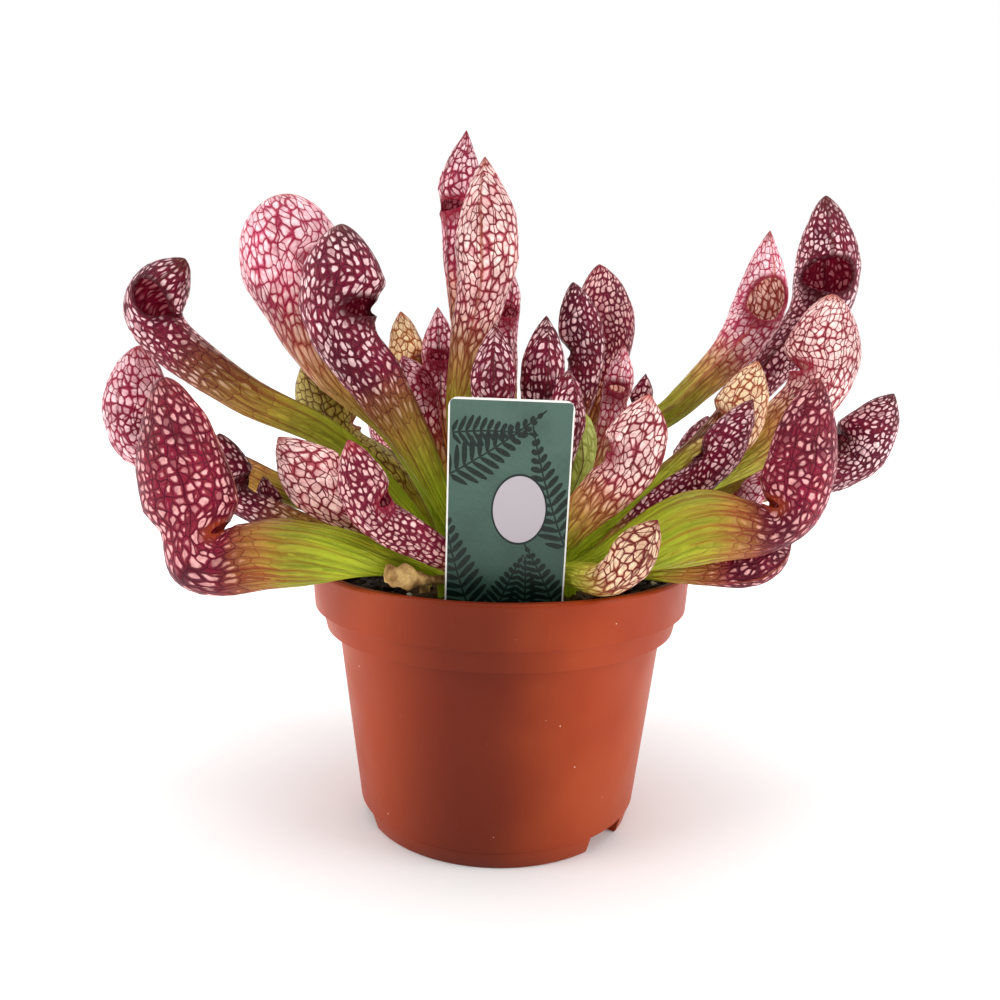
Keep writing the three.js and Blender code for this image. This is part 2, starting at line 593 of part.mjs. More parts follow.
// A dried leaf: rings along its length, folded more and more towards its end.
function driedGeometry(leaf) {
  const [x, y] = leaf.foot;
  const curve = new THREE.CatmullRomCurve3([
    new THREE.Vector3(x, y, CROWN.top - FOOT.depth),
    new THREE.Vector3(x, y, CROWN.top + FOOT.rise),
    ...leaf.way.map((p) => new THREE.Vector3(...p)),
    new THREE.Vector3(...leaf.end),
  ], false, 'centripetal');
  const points = [];
  const triangles = [];
  const up = new THREE.Vector3(...DRIED_FORM.up);
  DRIED_ROWS.forEach((u, row) => {
    const centre = curve.getPointAt(u);
    const forward = curve.getTangentAt(u);
    const top = up.clone().addScaledVector(forward, -up.dot(forward)).normalize();
    const side = new THREE.Vector3().crossVectors(forward, top);
    const [width, height] = driedSize(leaf, u);
    const fold = leaf.crumple * driedOpening(leaf, u);
    for (let column = 0; column < DRIED_SIDES; column += 1) {
      const angle = (2 * Math.PI * column) / DRIED_SIDES;
      const crease = 1 + fold * ((column + row) % 2 === 0 ? 1 : -1);
      points.push(centre.clone()
        .addScaledVector(side, width * crease * Math.sin(angle))
        .addScaledVector(top, height * crease * Math.cos(angle)));
    }
  });
  const at = (row, column) => row * DRIED_SIDES + (column % DRIED_SIDES);
  const last = DRIED_ROWS.length - 1;
  const foot = points.push(curve.getPointAt(0)) - 1;
  const end = points.push(curve.getPointAt(1)) - 1;
  for (let column = 0; column < DRIED_SIDES; column += 1) {
    for (let row = 0; row < last; row += 1) {
      const [a, b] = [at(row, column), at(row, column + 1)];
      const [c, d] = [at(row + 1, column), at(row + 1, column + 1)];
      triangles.push([a, b, d], [a, d, c]);
    }
    triangles.push([at(0, column + 1), at(0, column), foot]);
    triangles.push([at(last, column), at(last, column + 1), end]);
  }
  return meshFrom(points, triangles);
}

function leafNodes(side, leaves) {
  return leaves.map((values, i) => {
    const leaf = leafOf(values);
    return piece(`pitcher_${side}_${i + 1}`, pitcherGeometry(leaf), leaf.finish);
  });
}

// ---------------------------------------------------------------- assembly

const plant = new THREE.Group();
const feet = [...LEFT, ...MIDDLE, ...RIGHT, ...BACK, ...DRIED].map((leaf) => leaf.foot);

plant.add(piece('pot', potGeometry(), 'pot'));
plant.add(piece('soil', soilGeometry(), 'soil'));
plant.add(piece('crown', crownGeometry(feet), 'crown'));
plant.add(piece('plant_label', labelGeometry(0), 'label'));
plant.add(...leafNodes('left', LEFT));
plant.add(...leafNodes('middle', MIDDLE));
plant.add(...leafNodes('right', RIGHT));
plant.add(...leafNodes('back', BACK));
DRIED.forEach((leaf, i) => plant.add(piece(`dried_leaf_${i + 1}`, driedGeometry(leaf), 'dry')));

export default plant;
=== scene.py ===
"""A potted pitcher plant: the finished look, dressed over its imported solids.

The object stands on the origin with +Z up and its front towards -Y. The mesh work is done in
millimetres and every finished mesh is brought to metres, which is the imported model's own frame.
"""

import logging
import math
import random
from bisect import bisect_left
from collections.abc import Iterator
from dataclasses import dataclass, field, replace
from enum import Enum
from functools import cached_property

import bmesh
import bpy
from bmesh.types import BMesh, BMVert
from mathutils import Matrix, Vector, noise


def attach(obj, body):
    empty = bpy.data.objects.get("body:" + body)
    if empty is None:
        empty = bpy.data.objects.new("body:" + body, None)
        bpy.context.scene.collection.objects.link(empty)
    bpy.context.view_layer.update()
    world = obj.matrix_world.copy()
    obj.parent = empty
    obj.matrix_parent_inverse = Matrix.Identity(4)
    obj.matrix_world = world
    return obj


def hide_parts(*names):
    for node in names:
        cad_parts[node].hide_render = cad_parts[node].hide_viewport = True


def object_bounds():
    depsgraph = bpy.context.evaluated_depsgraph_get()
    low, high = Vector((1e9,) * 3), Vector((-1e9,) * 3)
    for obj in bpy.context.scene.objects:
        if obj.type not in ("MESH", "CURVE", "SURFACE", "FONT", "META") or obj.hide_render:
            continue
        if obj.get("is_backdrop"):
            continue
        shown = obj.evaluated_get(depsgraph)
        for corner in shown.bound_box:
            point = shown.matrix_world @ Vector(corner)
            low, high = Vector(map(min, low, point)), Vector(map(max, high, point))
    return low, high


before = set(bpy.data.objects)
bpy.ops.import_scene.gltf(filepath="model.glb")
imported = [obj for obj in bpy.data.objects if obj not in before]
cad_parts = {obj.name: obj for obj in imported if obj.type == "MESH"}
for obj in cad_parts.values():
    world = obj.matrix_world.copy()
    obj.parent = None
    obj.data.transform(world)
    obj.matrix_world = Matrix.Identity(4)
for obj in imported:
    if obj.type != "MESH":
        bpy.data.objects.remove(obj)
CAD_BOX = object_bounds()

log = logging.getLogger("pitcher_plant")

MM = 0.001
WALL = 0.9  # thickness of a pitcher's wall, in millimetres
Colour = tuple[float, float, float, float]  # linear red, green, blue and alpha
Point = tuple[float, float, float]
Outline = list[tuple[float, float]]  # radius and height of each corner
Socket = bpy.types.NodeSocket


def clamp01(x: float) -> float:
    """A number held between 0 and 1."""
    return min(1.0, max(0.0, x))


def mix(a: float, b: float, k: float) -> float:
    """The value a part k of the way from a to b."""
    return a + (b - a) * k


def smooth(x: float) -> float:
    """An S-shaped step from 0 to 1."""
    x = clamp01(x)
    return x * x * (3 - 2 * x)


def hump(x: float, width: float) -> float:
    """A bell curve of height 1 at 0 that has faded out a few widths away."""
    return math.exp(-((x / width) ** 2))


def dye(code: str) -> Colour:
    """A colour for the shaders.

    Args:
        code: Red, green and blue as six hexadecimal digits.

    Returns:
        The linear colour, with an alpha of 1.
    """
    parts = [int(code[i:i + 2], 16) / 255 for i in (0, 2, 4)]
    linear = [c / 12.92 if c <= 0.04045 else ((c + 0.055) / 1.055) ** 2.4 for c in parts]
    return (linear[0], linear[1], linear[2], 1.0)


class Layer(Enum):
    """The UV maps that the finishes read."""

    NET = "net"  # millimetres round and along the leaf, for the net of veins
    RISE = "rise"  # x: from the back round to the back, -1 to 1; y: tone, 0 at the foot to 3 at the tip
    MOUTH = "mouth"  # x: how near the mouth's edge is, 1 on it and 0 a few millimetres off, for the painted shade round the mouth
    CARD = "card"  # millimetres on the face of the plant label


class Piece:
    """A mesh that is being made, and the object it turns into."""

    def __init__(self, name: str, slot: str) -> None:
        """Starts an empty mesh.

        Args:
            name: The piece's name.
            slot: The record's material that its finish belongs to.
        """
        self.name = name
        self.slot = slot
        self.mesh: BMesh = bmesh.new()
        self.materials: list[bpy.types.Material] = []

    def finish(self, *replaced: str, smooth_faces: bool = True) -> bpy.types.Object:
        """Puts the mesh in the scene as an object that rides with the plant.

        Args:
            replaced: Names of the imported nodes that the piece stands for.
            smooth_faces: Whether its faces are shaded smooth.

        Returns:
            The new object.
        """
        for face in self.mesh.faces:
            face.smooth = smooth_faces
        bmesh.ops.scale(self.mesh, vec=(MM, MM, MM), verts=self.mesh.verts)
        data = bpy.data.meshes.new(self.name)
        self.mesh.to_mesh(data)
        self.mesh.free()
        for material in self.materials:
            data.materials.append(material)
        made = bpy.data.objects.new(self.name, data)
        bpy.context.scene.collection.objects.link(made)
        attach(made, "root")
        if replaced:
            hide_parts(*replaced)
        log.info("%s: %d faces", self.name, len(data.polygons))
        return made


# ---------------------------------------------------------------- finishes


class Shade:
    """One material, with short calls for the nodes that the finishes share."""

    def __init__(self, name: str, roughness: float, specular: float = 0.5) -> None:
        """Makes a material with a plain glossy surface.

        Args:
            name: The material's name.
            roughness: From 0 for a mirror to 1 for chalk.
            specular: How strong its gloss is.
        """
        self.material = bpy.data.materials.new(name)
        self.material.use_nodes = True
        self.nodes = self.material.node_tree.nodes
        self.links = self.material.node_tree.links
        self.surface = self.nodes["Principled BSDF"]
        self.surface.inputs["Roughness"].default_value = roughness
        self.surface.inputs["Specular IOR Level"].default_value = specular

    def node(self, kind: str, inputs: dict, **settings: object) -> bpy.types.Node:
        """Adds a node.

        Args:
            kind: The node's type, without the prefix that all shader nodes share.
            inputs: What goes into its sockets, by name or number: a plain value or another socket.
            settings: The node's own settings.

        Returns:
            The new node.
        """
        made = self.nodes.new("ShaderNode" + kind)
        for key, value in settings.items():
            setattr(made, key, value)
        for key, value in inputs.items():
            if isinstance(value, Socket):
                self.links.new(value, made.inputs[key])
            else:
                made.inputs[key].default_value = value
        return made

    def map(self, layer: Layer) -> Socket:
        """A UV map as a vector."""
        return self.node("UVMap", {}, uv_map=layer.value).outputs["UV"]

    def place(self) -> Socket:
        """The place on the piece, in millimetres."""
        spot = self.node("TexCoord", {}).outputs["Object"]
        return self.vector("SCALE", spot, Scale=1 / MM)

    def vector(self, operation: str, a: object, b: object = None, **more: object) -> Socket:
        """Vector arithmetic.

        Args:
            operation: The arithmetic's name.
            a: The first value, plain or a socket.
            b: The second value, where the arithmetic takes one.
            more: Further inputs by name, such as Scale.

        Returns:
            The socket of the result.
        """
        inputs = {0: a, **more}
        if b is not None:
            inputs[1] = b
        return self.node("VectorMath", inputs, operation=operation).outputs[0]

    def maths(self, operation: str, a: object, b: object = 0.0, c: object = 0.0) -> Socket:
        """Arithmetic on up to three numbers."""
        return self.node("Math", {0: a, 1: b, 2: c}, operation=operation).outputs[0]

    def split(self, vector: Socket) -> tuple[Socket, Socket]:
        """The x and y of a vector."""
        parts = self.node("SeparateXYZ", {0: vector})
        return parts.outputs[0], parts.outputs[1]

    def step(self, value: object, low: float, high: float, start: float = 0.0,
             end: float = 1.0) -> Socket:
        """A soft step.

        Args:
            value: The number that is read.
            low: Where the step begins.
            high: Where it is complete.
            start: The result up to low.
            end: The result from high on.

        Returns:
            The socket of the result.
        """
        return self.node(
            "MapRange",
            {"Value": value, "From Min": low, "From Max": high, "To Min": start, "To Max": end},
            interpolation_type="SMOOTHSTEP",
        ).outputs[0]

    def blend(self, factor: object, a: object, b: object, mode: str = "MIX") -> Socket:
        """Two colours mixed by a factor."""
        return self.node("Mix", {0: factor, 6: a, 7: b}, data_type="RGBA", blend_type=mode).outputs[2]

    def ramp(self, factor: object, stops: list[tuple[float, str]]) -> Socket:
        """A run of colours.

        Args:
            factor: The number that is read, from 0 to 1.
            stops: The place and the colour code of each stop.

        Returns:
            The socket of the colour.
        """
        made = self.node("ValToRGB", {0: factor})
        elements = made.color_ramp.elements
        while len(elements) < len(stops):
            elements.new(0.5)
        for element, (place, code) in zip(elements, stops):
            element.position = place
            element.color = dye(code)
        return made.outputs[0]

    def noise(self, vector: object, scale: float, detail: float = 2.0) -> Socket:
        """Cloudy noise round 0.5, with a size of 1 / scale."""
        return self.node("TexNoise", {"Vector": vector, "Scale": scale, "Detail": detail}).outputs[0]

    def cells(self, vector: object, feature: str, random_part: float = 1.0, scale: float = 1.0,
              flat: bool = True) -> bpy.types.Node:
        """A pattern of irregular cells.

        Args:
            vector: The place that is read.
            feature: What is measured in the cells.
            random_part: How irregular they are, from 0 to 1.
            scale: How many fit in a unit of the place.
            flat: Whether only x and y count.

        Returns:
            The pattern's node.
        """
        return self.node(
            "TexVoronoi",
            {"Vector": vector, "Scale": scale, "Randomness": random_part},
            voronoi_dimensions="2D" if flat else "3D",
            feature=feature,
        )

    def paint(self, colour: Socket) -> None:
        """Sets the surface's colour."""
        self.links.new(colour, self.surface.inputs["Base Color"])

    def gloss(self, roughness: Socket) -> None:
        """Sets a roughness that changes over the surface."""
        self.links.new(roughness, self.surface.inputs["Roughness"])

    def relief(self, height: Socket, depth: float, strength: float = 1.0) -> None:
        """Gives the surface a relief of a depth in millimetres."""
        bump = self.node("Bump", {"Height": height, "Distance": depth * MM, "Strength": strength})
        self.links.new(bump.outputs[0], self.surface.inputs["Normal"])

    def glow_through(self, weight: float, depth: float) -> None:
        """Lets light travel a depth, in millimetres, under the surface."""
        self.surface.inputs["Subsurface Weight"].default_value = weight
        self.surface.inputs["Subsurface Radius"].default_value = (1.0, 0.4, 0.25)
        self.surface.inputs["Subsurface Scale"].default_value = depth * MM

    def paint_glow(self, colour: Socket, strength: float) -> None:
        """Makes the surface glow in a colour: painted light that stands in for light coming through from
        behind.
        """
        self.links.new(colour, self.surface.inputs["Emission Color"])
        self.surface.inputs["Emission Strength"].default_value = strength


@dataclass(frozen=True)
class LeafFinish:
    """The skin of a pitcher, from its green tube to the net of veins on its hood.

    Colours are codes for dye(). The net is made of cells with a vein round each, flesh inside it
    and a pale window in the middle.
    """

    name: str
    slot: str  # the record's material that it stands for
    vein: str
    flesh: str
    window: str
    turn: str  # the skin where the green gives way
    turn_vein: str  # the veins there
    tip: str
    keel: str = "5c2220"  # the line down the back and the crest of the wing
    base: str = "a4b02c"  # the green tube
    base_shade: str = "5c6c0c"  # its streaks
    cell: float = 2.5  # millimetres across a cell
    stretch: float = 1.25  # how much longer than wide a cell is
    line: float = 0.05  # half a vein's width, as a part of a cell
    patch: float = 0.3  # how far in from the edge of a cell its window begins
    uneven: float = 0.16  # how much the windows differ in size
    ragged: float = 0.16  # how irregular a window's outline is
    threads: float = 0.25  # how plain the hairline veins inside the cells are
    softness: float = 0.06  # how softly a window ends
    faintest: float = 0.6  # how plain the faintest windows are
    shadow: float = 0.6  # how much the vein's colour fills the flesh in places
    lines: int = 12  # main veins that run along the leaf
    mouth_shade: str = "74122a"  # painted shade round the mouth
    light: float = 0.3  # strength of the painted glow that stands in for light coming through the wall from behind
    thin: bool = True  # whether the painted glow is stronger on the pale skin than on the dark
    lining_glow: float = 0.24  # strength of the painted glow inside the mouth
    lining_vein: str = "680e22"
    lining_flesh: str = "a01c3c"
    lining_window: str = "e8949c"

    @cached_property
    def material(self) -> bpy.types.Material:
        """The finish as a material.

        Returns:
            The material, which is made once and then shared.
        """
        shade = Shade(self.name, roughness=0.4, specular=0.13)
        net = shade.map(Layer.NET)
        turn, tone = shade.split(shade.map(Layer.RISE))
        edge, hearts, scaled = self._cells(shade, net, turn)
        flesh, pale, dark = self._colours(shade, tone)
        flesh = self._stained(shade, net, tone, flesh)
        mottle = shade.noise(net, 0.55, 3.0)
        pale = shade.blend(shade.step(mottle, 0.35, 0.75, 0.0, 0.5), pale, flesh)
        colour = shade.blend(self._windows(shade, net, tone, edge, hearts), flesh, pale)

        vein = shade.step(edge, self.line * 0.3, self.line * 1.8, 1.0, 0.0)
        drawn = shade.maths("MAXIMUM", vein, self._threads(shade, scaled))
        drawn = shade.maths("MULTIPLY", drawn, shade.step(tone, 0.8, 1.9, 0.12, 1.0))
        colour = shade.blend(drawn, colour, dark)
        colour = self._edged(shade, turn, tone, colour)
        cloud = shade.step(shade.noise(shade.place(), 0.06, 2.0), 0.3, 0.7, 0.82, 1.1)
        cloud = shade.node("CombineColor", {0: cloud, 1: cloud, 2: cloud}).outputs[0]
        colour = shade.blend(1.0, colour, cloud, "MULTIPLY")
        shade.paint(colour)
        shade.gloss(shade.step(mottle, 0.3, 0.7, 0.36, 0.52))
        quilt = shade.maths("SUBTRACT", shade.step(edge, 0.0, 0.32), shade.maths("MULTIPLY", vein, 0.2))
        shade.relief(quilt, depth=0.35, strength=0.7)
        shade.glow_through(0.15, 1.5)
        # Painted glow: pale skin glows more than dark skin, in place of light coming through the wall.
        shade.paint_glow(shade.blend(1.0, colour, colour, "MULTIPLY") if self.thin else colour, self.light)
        return shade.material

    def _cells(self, shade: Shade, net: Socket, turn: Socket) -> tuple[Socket, bpy.types.Node, Socket]:
        """Lays out the cells of the net, with main veins that run along the leaf.

        Args:
            shade: The material that is being made.
            net: The place on the skin, in millimetres.
            turn: The place round the leaf, from -1 to 1.

        Returns:
            How far the nearest vein is, the cells' own node, and the place counted in cells.
        """
        drift = shade.node("TexNoise", {"Vector": net, "Scale": 0.3, "Detail": 1.0}).outputs["Color"]
        drift = shade.vector("SCALE", shade.vector("SUBTRACT", drift, (0.5, 0.5, 0.5)), Scale=2.0)
        spread = (1 / self.cell, 1 / (self.cell * self.stretch), 1.0)
        scaled = shade.vector("MULTIPLY", shade.vector("ADD", net, drift), spread)
        edge = shade.cells(scaled, "DISTANCE_TO_EDGE", 0.9).outputs["Distance"]
        hearts = shade.cells(scaled, "F1", 0.9)
        sway = shade.maths("MULTIPLY", shade.noise(net, 0.12, 1.0), 0.5)
        round_leaf = shade.maths("MULTIPLY_ADD", turn, self.lines / 2, sway)
        near_line = shade.maths("MULTIPLY", shade.maths("PINGPONG", round_leaf, 0.5), 2.4)
        return shade.maths("SMOOTH_MIN", edge, near_line, 0.05), hearts, scaled

    def _threads(self, shade: Shade, scaled: Socket) -> Socket:
        """Hairline veins inside the cells.

        Args:
            shade: The material that is being made.
            scaled: The place counted in cells.

        Returns:
            How plain a thread is at each place.
        """
        finer = shade.vector("SCALE", scaled, Scale=2.1)
        thread = shade.cells(finer, "DISTANCE_TO_EDGE", 1.0).outputs["Distance"]
        return shade.step(thread, 0.02, 0.12, self.threads, 0.0)

    def _windows(self, shade: Shade, net: Socket, tone: Socket, edge: Socket,
                 hearts: bpy.types.Node) -> Socket:
        """The pale windows in the middle of the cells.

        Args:
            shade: The material that is being made.
            net: The place on the skin, in millimetres.
            tone: The colour's place along the leaf.
            edge: How far the nearest vein is.
            hearts: The cells' own node.

        Returns:
            How plain a window is at each place.
        """
        own, strength = shade.split(hearts.outputs["Color"])
        # A window is round in its middle and follows the veins at its edge.
        size = shade.maths("MULTIPLY_ADD", hearts.outputs["Distance"], -0.45, 0.225)
        size = shade.maths("MULTIPLY_ADD", edge, 0.8, size)
        size = shade.maths("MULTIPLY_ADD", own, self.uneven, size)
        ragged = shade.maths("SUBTRACT", shade.noise(net, 0.9, 2.0), 0.5)
        size = shade.maths("MULTIPLY_ADD", ragged, self.ragged, size)
        # Windows are larger in some places than in others, and small where the green gives way.
        size = shade.maths("ADD", size, shade.step(shade.noise(net, 0.09, 1.0), 0.3, 0.7, -0.07, 0.05))
        size = shade.maths("ADD", size, shade.step(tone, 1.3, 2.2, -0.16, 0.0))
        middle = self.patch + self.uneven / 2
        window = shade.step(size, middle - self.softness, middle + self.softness)
        return shade.maths("MULTIPLY", window, shade.step(strength, 0.0, 0.5, self.faintest, 1.0))

    def _colours(self, shade: Shade, tone: Socket) -> tuple[Socket, Socket, Socket]:
        """The colours from the foot to the tip.

        Args:
            shade: The material that is being made.
            tone: The colour's place along the leaf.

        Returns:
            The colours of the flesh, of the windows and of the veins.
        """
        third = shade.maths("DIVIDE", tone, 3.0)
        flesh = shade.ramp(third, [
            (0.0, self.base), (0.27, self.base), (0.44, self.turn), (0.62, self.flesh),
            (0.93, self.flesh), (1.0, self.tip)])
        window = shade.ramp(third, [
            (0.0, self.base), (0.27, self.base), (0.44, self.turn), (0.66, self.window),
            (0.96, self.window), (1.0, self.tip)])
        vein = shade.ramp(third, [
            (0.0, self.base_shade), (0.25, self.base_shade), (0.42, self.turn_vein), (0.6, self.vein)])
        return flesh, window, vein

    def _stained(self, shade: Shade, net: Socket, tone: Socket, flesh: Socket) -> Socket:
        """Streaks the tube and deepens the head in places.

        Args:
            shade: The material that is being made.
            net: The place on the skin, in millimetres.
            tone: The colour's place along the leaf.
            flesh: The clean colour of the flesh.

        Returns:
            The colour with green streaks, burnt streaks and patches of the veins' colour.
        """
        strands = shade.vector("MULTIPLY", net, (0.8, 0.035, 1.0))
        streak = shade.step(shade.noise(strands, 1.0, 3.0), 0.35, 0.7)
        green = shade.step(tone, 0.9, 1.9, 0.5, 0.1)
        flesh = shade.blend(shade.maths("MULTIPLY", streak, green), flesh, dye(self.base_shade))
        burnt = shade.step(shade.noise(strands, 0.9, 3.0), 0.42, 0.7, 0.0, 0.75)
        burnt = shade.maths("MULTIPLY", burnt, shade.step(tone, 0.35, 1.2))
        burnt = shade.maths("MULTIPLY", burnt, shade.step(tone, 1.5, 2.1, 1.0, 0.0))
        flesh = shade.blend(burnt, flesh, dye(self.turn_vein))
        deep = shade.step(shade.noise(shade.place(), 0.075, 2.0), 0.42, 0.68, 0.0, self.shadow)
        deep = shade.maths("MULTIPLY", deep, shade.step(tone, 1.4, 2.0))
        return shade.blend(deep, flesh, dye(self.vein))

    def _edged(self, shade: Shade, turn: Socket, tone: Socket, colour: Socket) -> Socket:
        """Draws the line down the back, the crest of the wing and the painted shade round the mouth.

        Args:
            shade: The material that is being made.
            turn: The place round the leaf, from -1 to 1.
            tone: The colour's place along the leaf.
            colour: The colour without them.

        Returns:
            The colour with them.
        """
        back = shade.step(shade.maths("ABSOLUTE", turn), 0.975, 0.992)
        crest = shade.step(shade.maths("ABSOLUTE", turn), 0.012, 0.03, 1.0, 0.0)
        seam = shade.maths("MAXIMUM", back, crest)
        seam = shade.maths("MULTIPLY", seam, shade.step(tone, 0.6, 1.6, 0.0, 0.7))
        colour = shade.blend(seam, colour, dye(self.keel))
        # Painted shade round the mouth: darkest on its edge and gone a few millimetres off.
        mouth_shade_mask = shade.step(shade.split(shade.map(Layer.MOUTH))[0], 0.25, 1.0, 0.0, 0.95)
        return shade.blend(mouth_shade_mask, colour, dye(self.mouth_shade))

    @cached_property
    def lining(self) -> "LeafFinish":
        """The finish inside the mouth.

        Returns:
            The same net in the colours of the lining, with smaller windows and its own painted glow.
        """
        return replace(
            self, name=self.name + "_lining", vein=self.lining_vein, flesh=self.lining_flesh,
            window=self.lining_window, turn=self.lining_flesh, turn_vein=self.lining_vein,
            tip=self.lining_flesh, keel=self.lining_vein, base=self.lining_flesh,
            base_shade=self.lining_vein, patch=self.patch + 0.03, light=self.lining_glow,
            thin=False)


CRIMSON = LeafFinish(
    "leaf_crimson_skin", "leaf_crimson", vein="4c061c", flesh="8a1436", window="eab0ae",
    turn="b88840", turn_vein="8c3018", tip="8c2028", cell=2.3, patch=0.28, lines=10,
    uneven=0.26, ragged=0.26, threads=0.2, keel="8c3c22", mouth_shade="8c3418", softness=0.1,
    faintest=0.2, shadow=0.75, light=0.25)
MAROON = LeafFinish(
    "leaf_maroon_skin", "leaf_maroon", vein="48061e", flesh="801036", window="f4d0d2",
    turn="a8883c", turn_vein="702414", tip="6a1a14", cell=2.4, patch=0.24, line=0.045, uneven=0.26,
    ragged=0.26, threads=0.15, mouth_shade="4c0818", softness=0.08, faintest=0.45, lining_glow=0.14)
PALE = LeafFinish(
    "leaf_pale_skin", "leaf_pale", vein="8c1434", flesh="cc5474", window="fad8dc",
    turn="d0a860", turn_vein="8c3a20", tip="c04c40", cell=2.4, patch=0.1, stretch=1.3,
    keel="a8483c", threads=0.2, softness=0.12, faintest=0.7, light=0.22, mouth_shade="8c1c34",
    lining_vein="742024", lining_flesh="a85448", lining_window="f8d4c4", lining_glow=0.4)
WARM = replace(
    PALE, name="leaf_warm_skin", vein="6a1420", flesh="b04a5a", window="fcdad4", line=0.06,
    tip="b8503c", keel="8c3c28", light=0.28)
ROSY = LeafFinish(
    "leaf_rosy_skin", "leaf_rosy", vein="74102c", flesh="b03658", window="f8d4d8",
    turn="c0984c", turn_vein="8c342c", tip="a42838", cell=2.3, patch=0.13, softness=0.09,
    faintest=0.55, mouth_shade="8c1834")
DEEP = replace(
    ROSY, name="leaf_deep_skin", vein="5c0a22", flesh="8c1c40", window="f0c4c0", patch=0.2)
GOLDEN = LeafFinish(
    "leaf_golden_skin", "leaf_golden", vein="7a2620", flesh="b87c54", window="f0d8b4",
    turn="b0a444", turn_vein="7a5018", tip="b85a34", cell=2.5, patch=0.1, line=0.055, softness=0.1,
    mouth_shade="8c4428", shadow=0.45, light=0.25, lining_vein="7a3a20", lining_flesh="b07840",
    lining_window="e0b878")
CREAM = replace(
    GOLDEN, name="leaf_cream_skin", vein="8c4c28", flesh="d0a068", window="f8e8c4", light=0.4)
TAN = replace(
    GOLDEN, name="leaf_tan_skin", vein="66161a", flesh="a8644a", window="f0d0b0", tip="983c2c", line=0.07)
OLIVE = replace(
    GOLDEN, name="leaf_olive_skin", vein="643418", flesh="8c843c", window="beb062", tip="a0783c")
YOUNG = LeafFinish(
    "leaf_young_skin", "leaf_young", vein="a4a650", flesh="b4bc68", window="c8d080",
    turn="adba54", turn_vein="98a444", tip="b0a04c", cell=3.0, patch=0.2, line=0.04, threads=0.0,
    shadow=0.2, mouth_shade="b08c4c")


@dataclass(frozen=True)
class DryFinish:
    """Skin that has died back to thin tan paper, with brown in its folds."""

    name: str = "leaf_dry_skin"
    slot: str = "leaf_dry"
    pale: str = "c8a468"
    brown: str = "7c5428"

    @cached_property
    def material(self) -> bpy.types.Material:
        """The finish as a material.

        Returns:
            The material, which is made once and then shared.
        """
        shade = Shade(self.name, roughness=0.8, specular=0.2)
        spot = shade.place()
        edge = shade.cells(spot, "DISTANCE_TO_EDGE", 1.0, 0.7, flat=False).outputs["Distance"]
        colour = shade.ramp(shade.noise(spot, 0.35, 4.0), [(0.3, self.brown), (0.62, self.pale)])
        colour = shade.blend(shade.step(edge, 0.0, 0.08, 0.35, 0.0), colour, dye(self.brown))
        shade.paint(colour)
        shade.relief(shade.noise(spot, 1.2, 5.0), depth=0.5)
        return shade.material


@dataclass(frozen=True)
class PotFinish:
    """Satin terracotta-coloured plastic with small scuffs, pale nicks and painted shade on its front and
    back.
    """

    name: str = "terracotta_plastic"
    slot: str = "pot_plastic"
    body: str = "9a3410"
    deep: str = "561502"  # painted shade on the front and the back
    worn: str = "b04a20"  # scuffs
    nick: str = "e6c3ab"

    @cached_property
    def material(self) -> bpy.types.Material:
        """The finish as a material.

        Returns:
            The material, which is made once and then shared.
        """
        shade = Shade(self.name, roughness=0.42, specular=0.16)
        spot = shade.place()
        broad = shade.noise(spot, 0.02, 3.0)
        colour = shade.ramp(broad, [(0.35, self.body), (0.8, self.worn)])
        # Painted shade: the front and the back are painted darker than the sides, which the side lamps leave
        # in shade.
        x, y = shade.split(spot)
        side = shade.maths("ABSOLUTE", shade.maths("ADD", x, shade.maths("MULTIPLY", broad, 16.0)))
        colour = shade.blend(shade.step(side, 4.0, 36.0, 0.8, 0.0), colour, dye(self.deep))
        scuff = shade.vector("MULTIPLY", spot, (1.0, 1.0, 0.12))
        scuff = shade.step(shade.noise(scuff, 0.8, 6.0), 0.62, 0.8, 0.0, 0.12)
        colour = shade.blend(scuff, colour, dye(self.worn))
        specks = shade.cells(spot, "F1", 1.0, 0.22, flat=False)
        chosen = shade.step(shade.split(specks.outputs["Color"])[0], 0.8, 0.81)
        speck = shade.maths("MULTIPLY", shade.step(specks.outputs["Distance"], 0.03, 0.06, 1.0, 0.0), chosen)
        colour = shade.blend(speck, colour, dye(self.nick))
        shade.paint(colour)
        shade.gloss(shade.step(shade.noise(spot, 0.05, 3.0), 0.3, 0.75, 0.4, 0.5))
        grain = shade.maths("MULTIPLY_ADD", speck, -2.0, shade.noise(spot, 2.5, 3.0))
        shade.relief(grain, depth=0.03)
        return shade.material


@dataclass(frozen=True)
class EarthFinish:
    """Damp, crumbly matter: a dark ground with lighter flecks."""

    name: str
    slot: str
    dark: str
    light: str
    grain: float = 1.1  # crumbs in a millimetre

    @cached_property
    def material(self) -> bpy.types.Material:
        """The finish as a material.

        Returns:
            The material, which is made once and then shared.
        """
        shade = Shade(self.name, roughness=0.85, specular=0.15)
        spot = shade.place()
        crumbs = shade.noise(spot, self.grain, 6.0)
        colour = shade.ramp(crumbs, [(0.35, self.dark), (0.72, self.light)])
        shade.paint(colour)
        shade.gloss(shade.step(shade.noise(spot, 0.15, 2.0), 0.35, 0.65, 0.6, 0.95))
        shade.relief(crumbs, depth=0.8)
        return shade.material


PEAT = EarthFinish("peat_ground", "peat", dark="0d0907", light="3d2a1c")
ROOT = EarthFinish("rootstock_bark", "rootstock", dark="2a1c12", light="6b4e30", grain=0.7)
PERLITE = EarthFinish("perlite_grain", "peat", dark="cfc9c0", light="f4f1ec", grain=2.0)


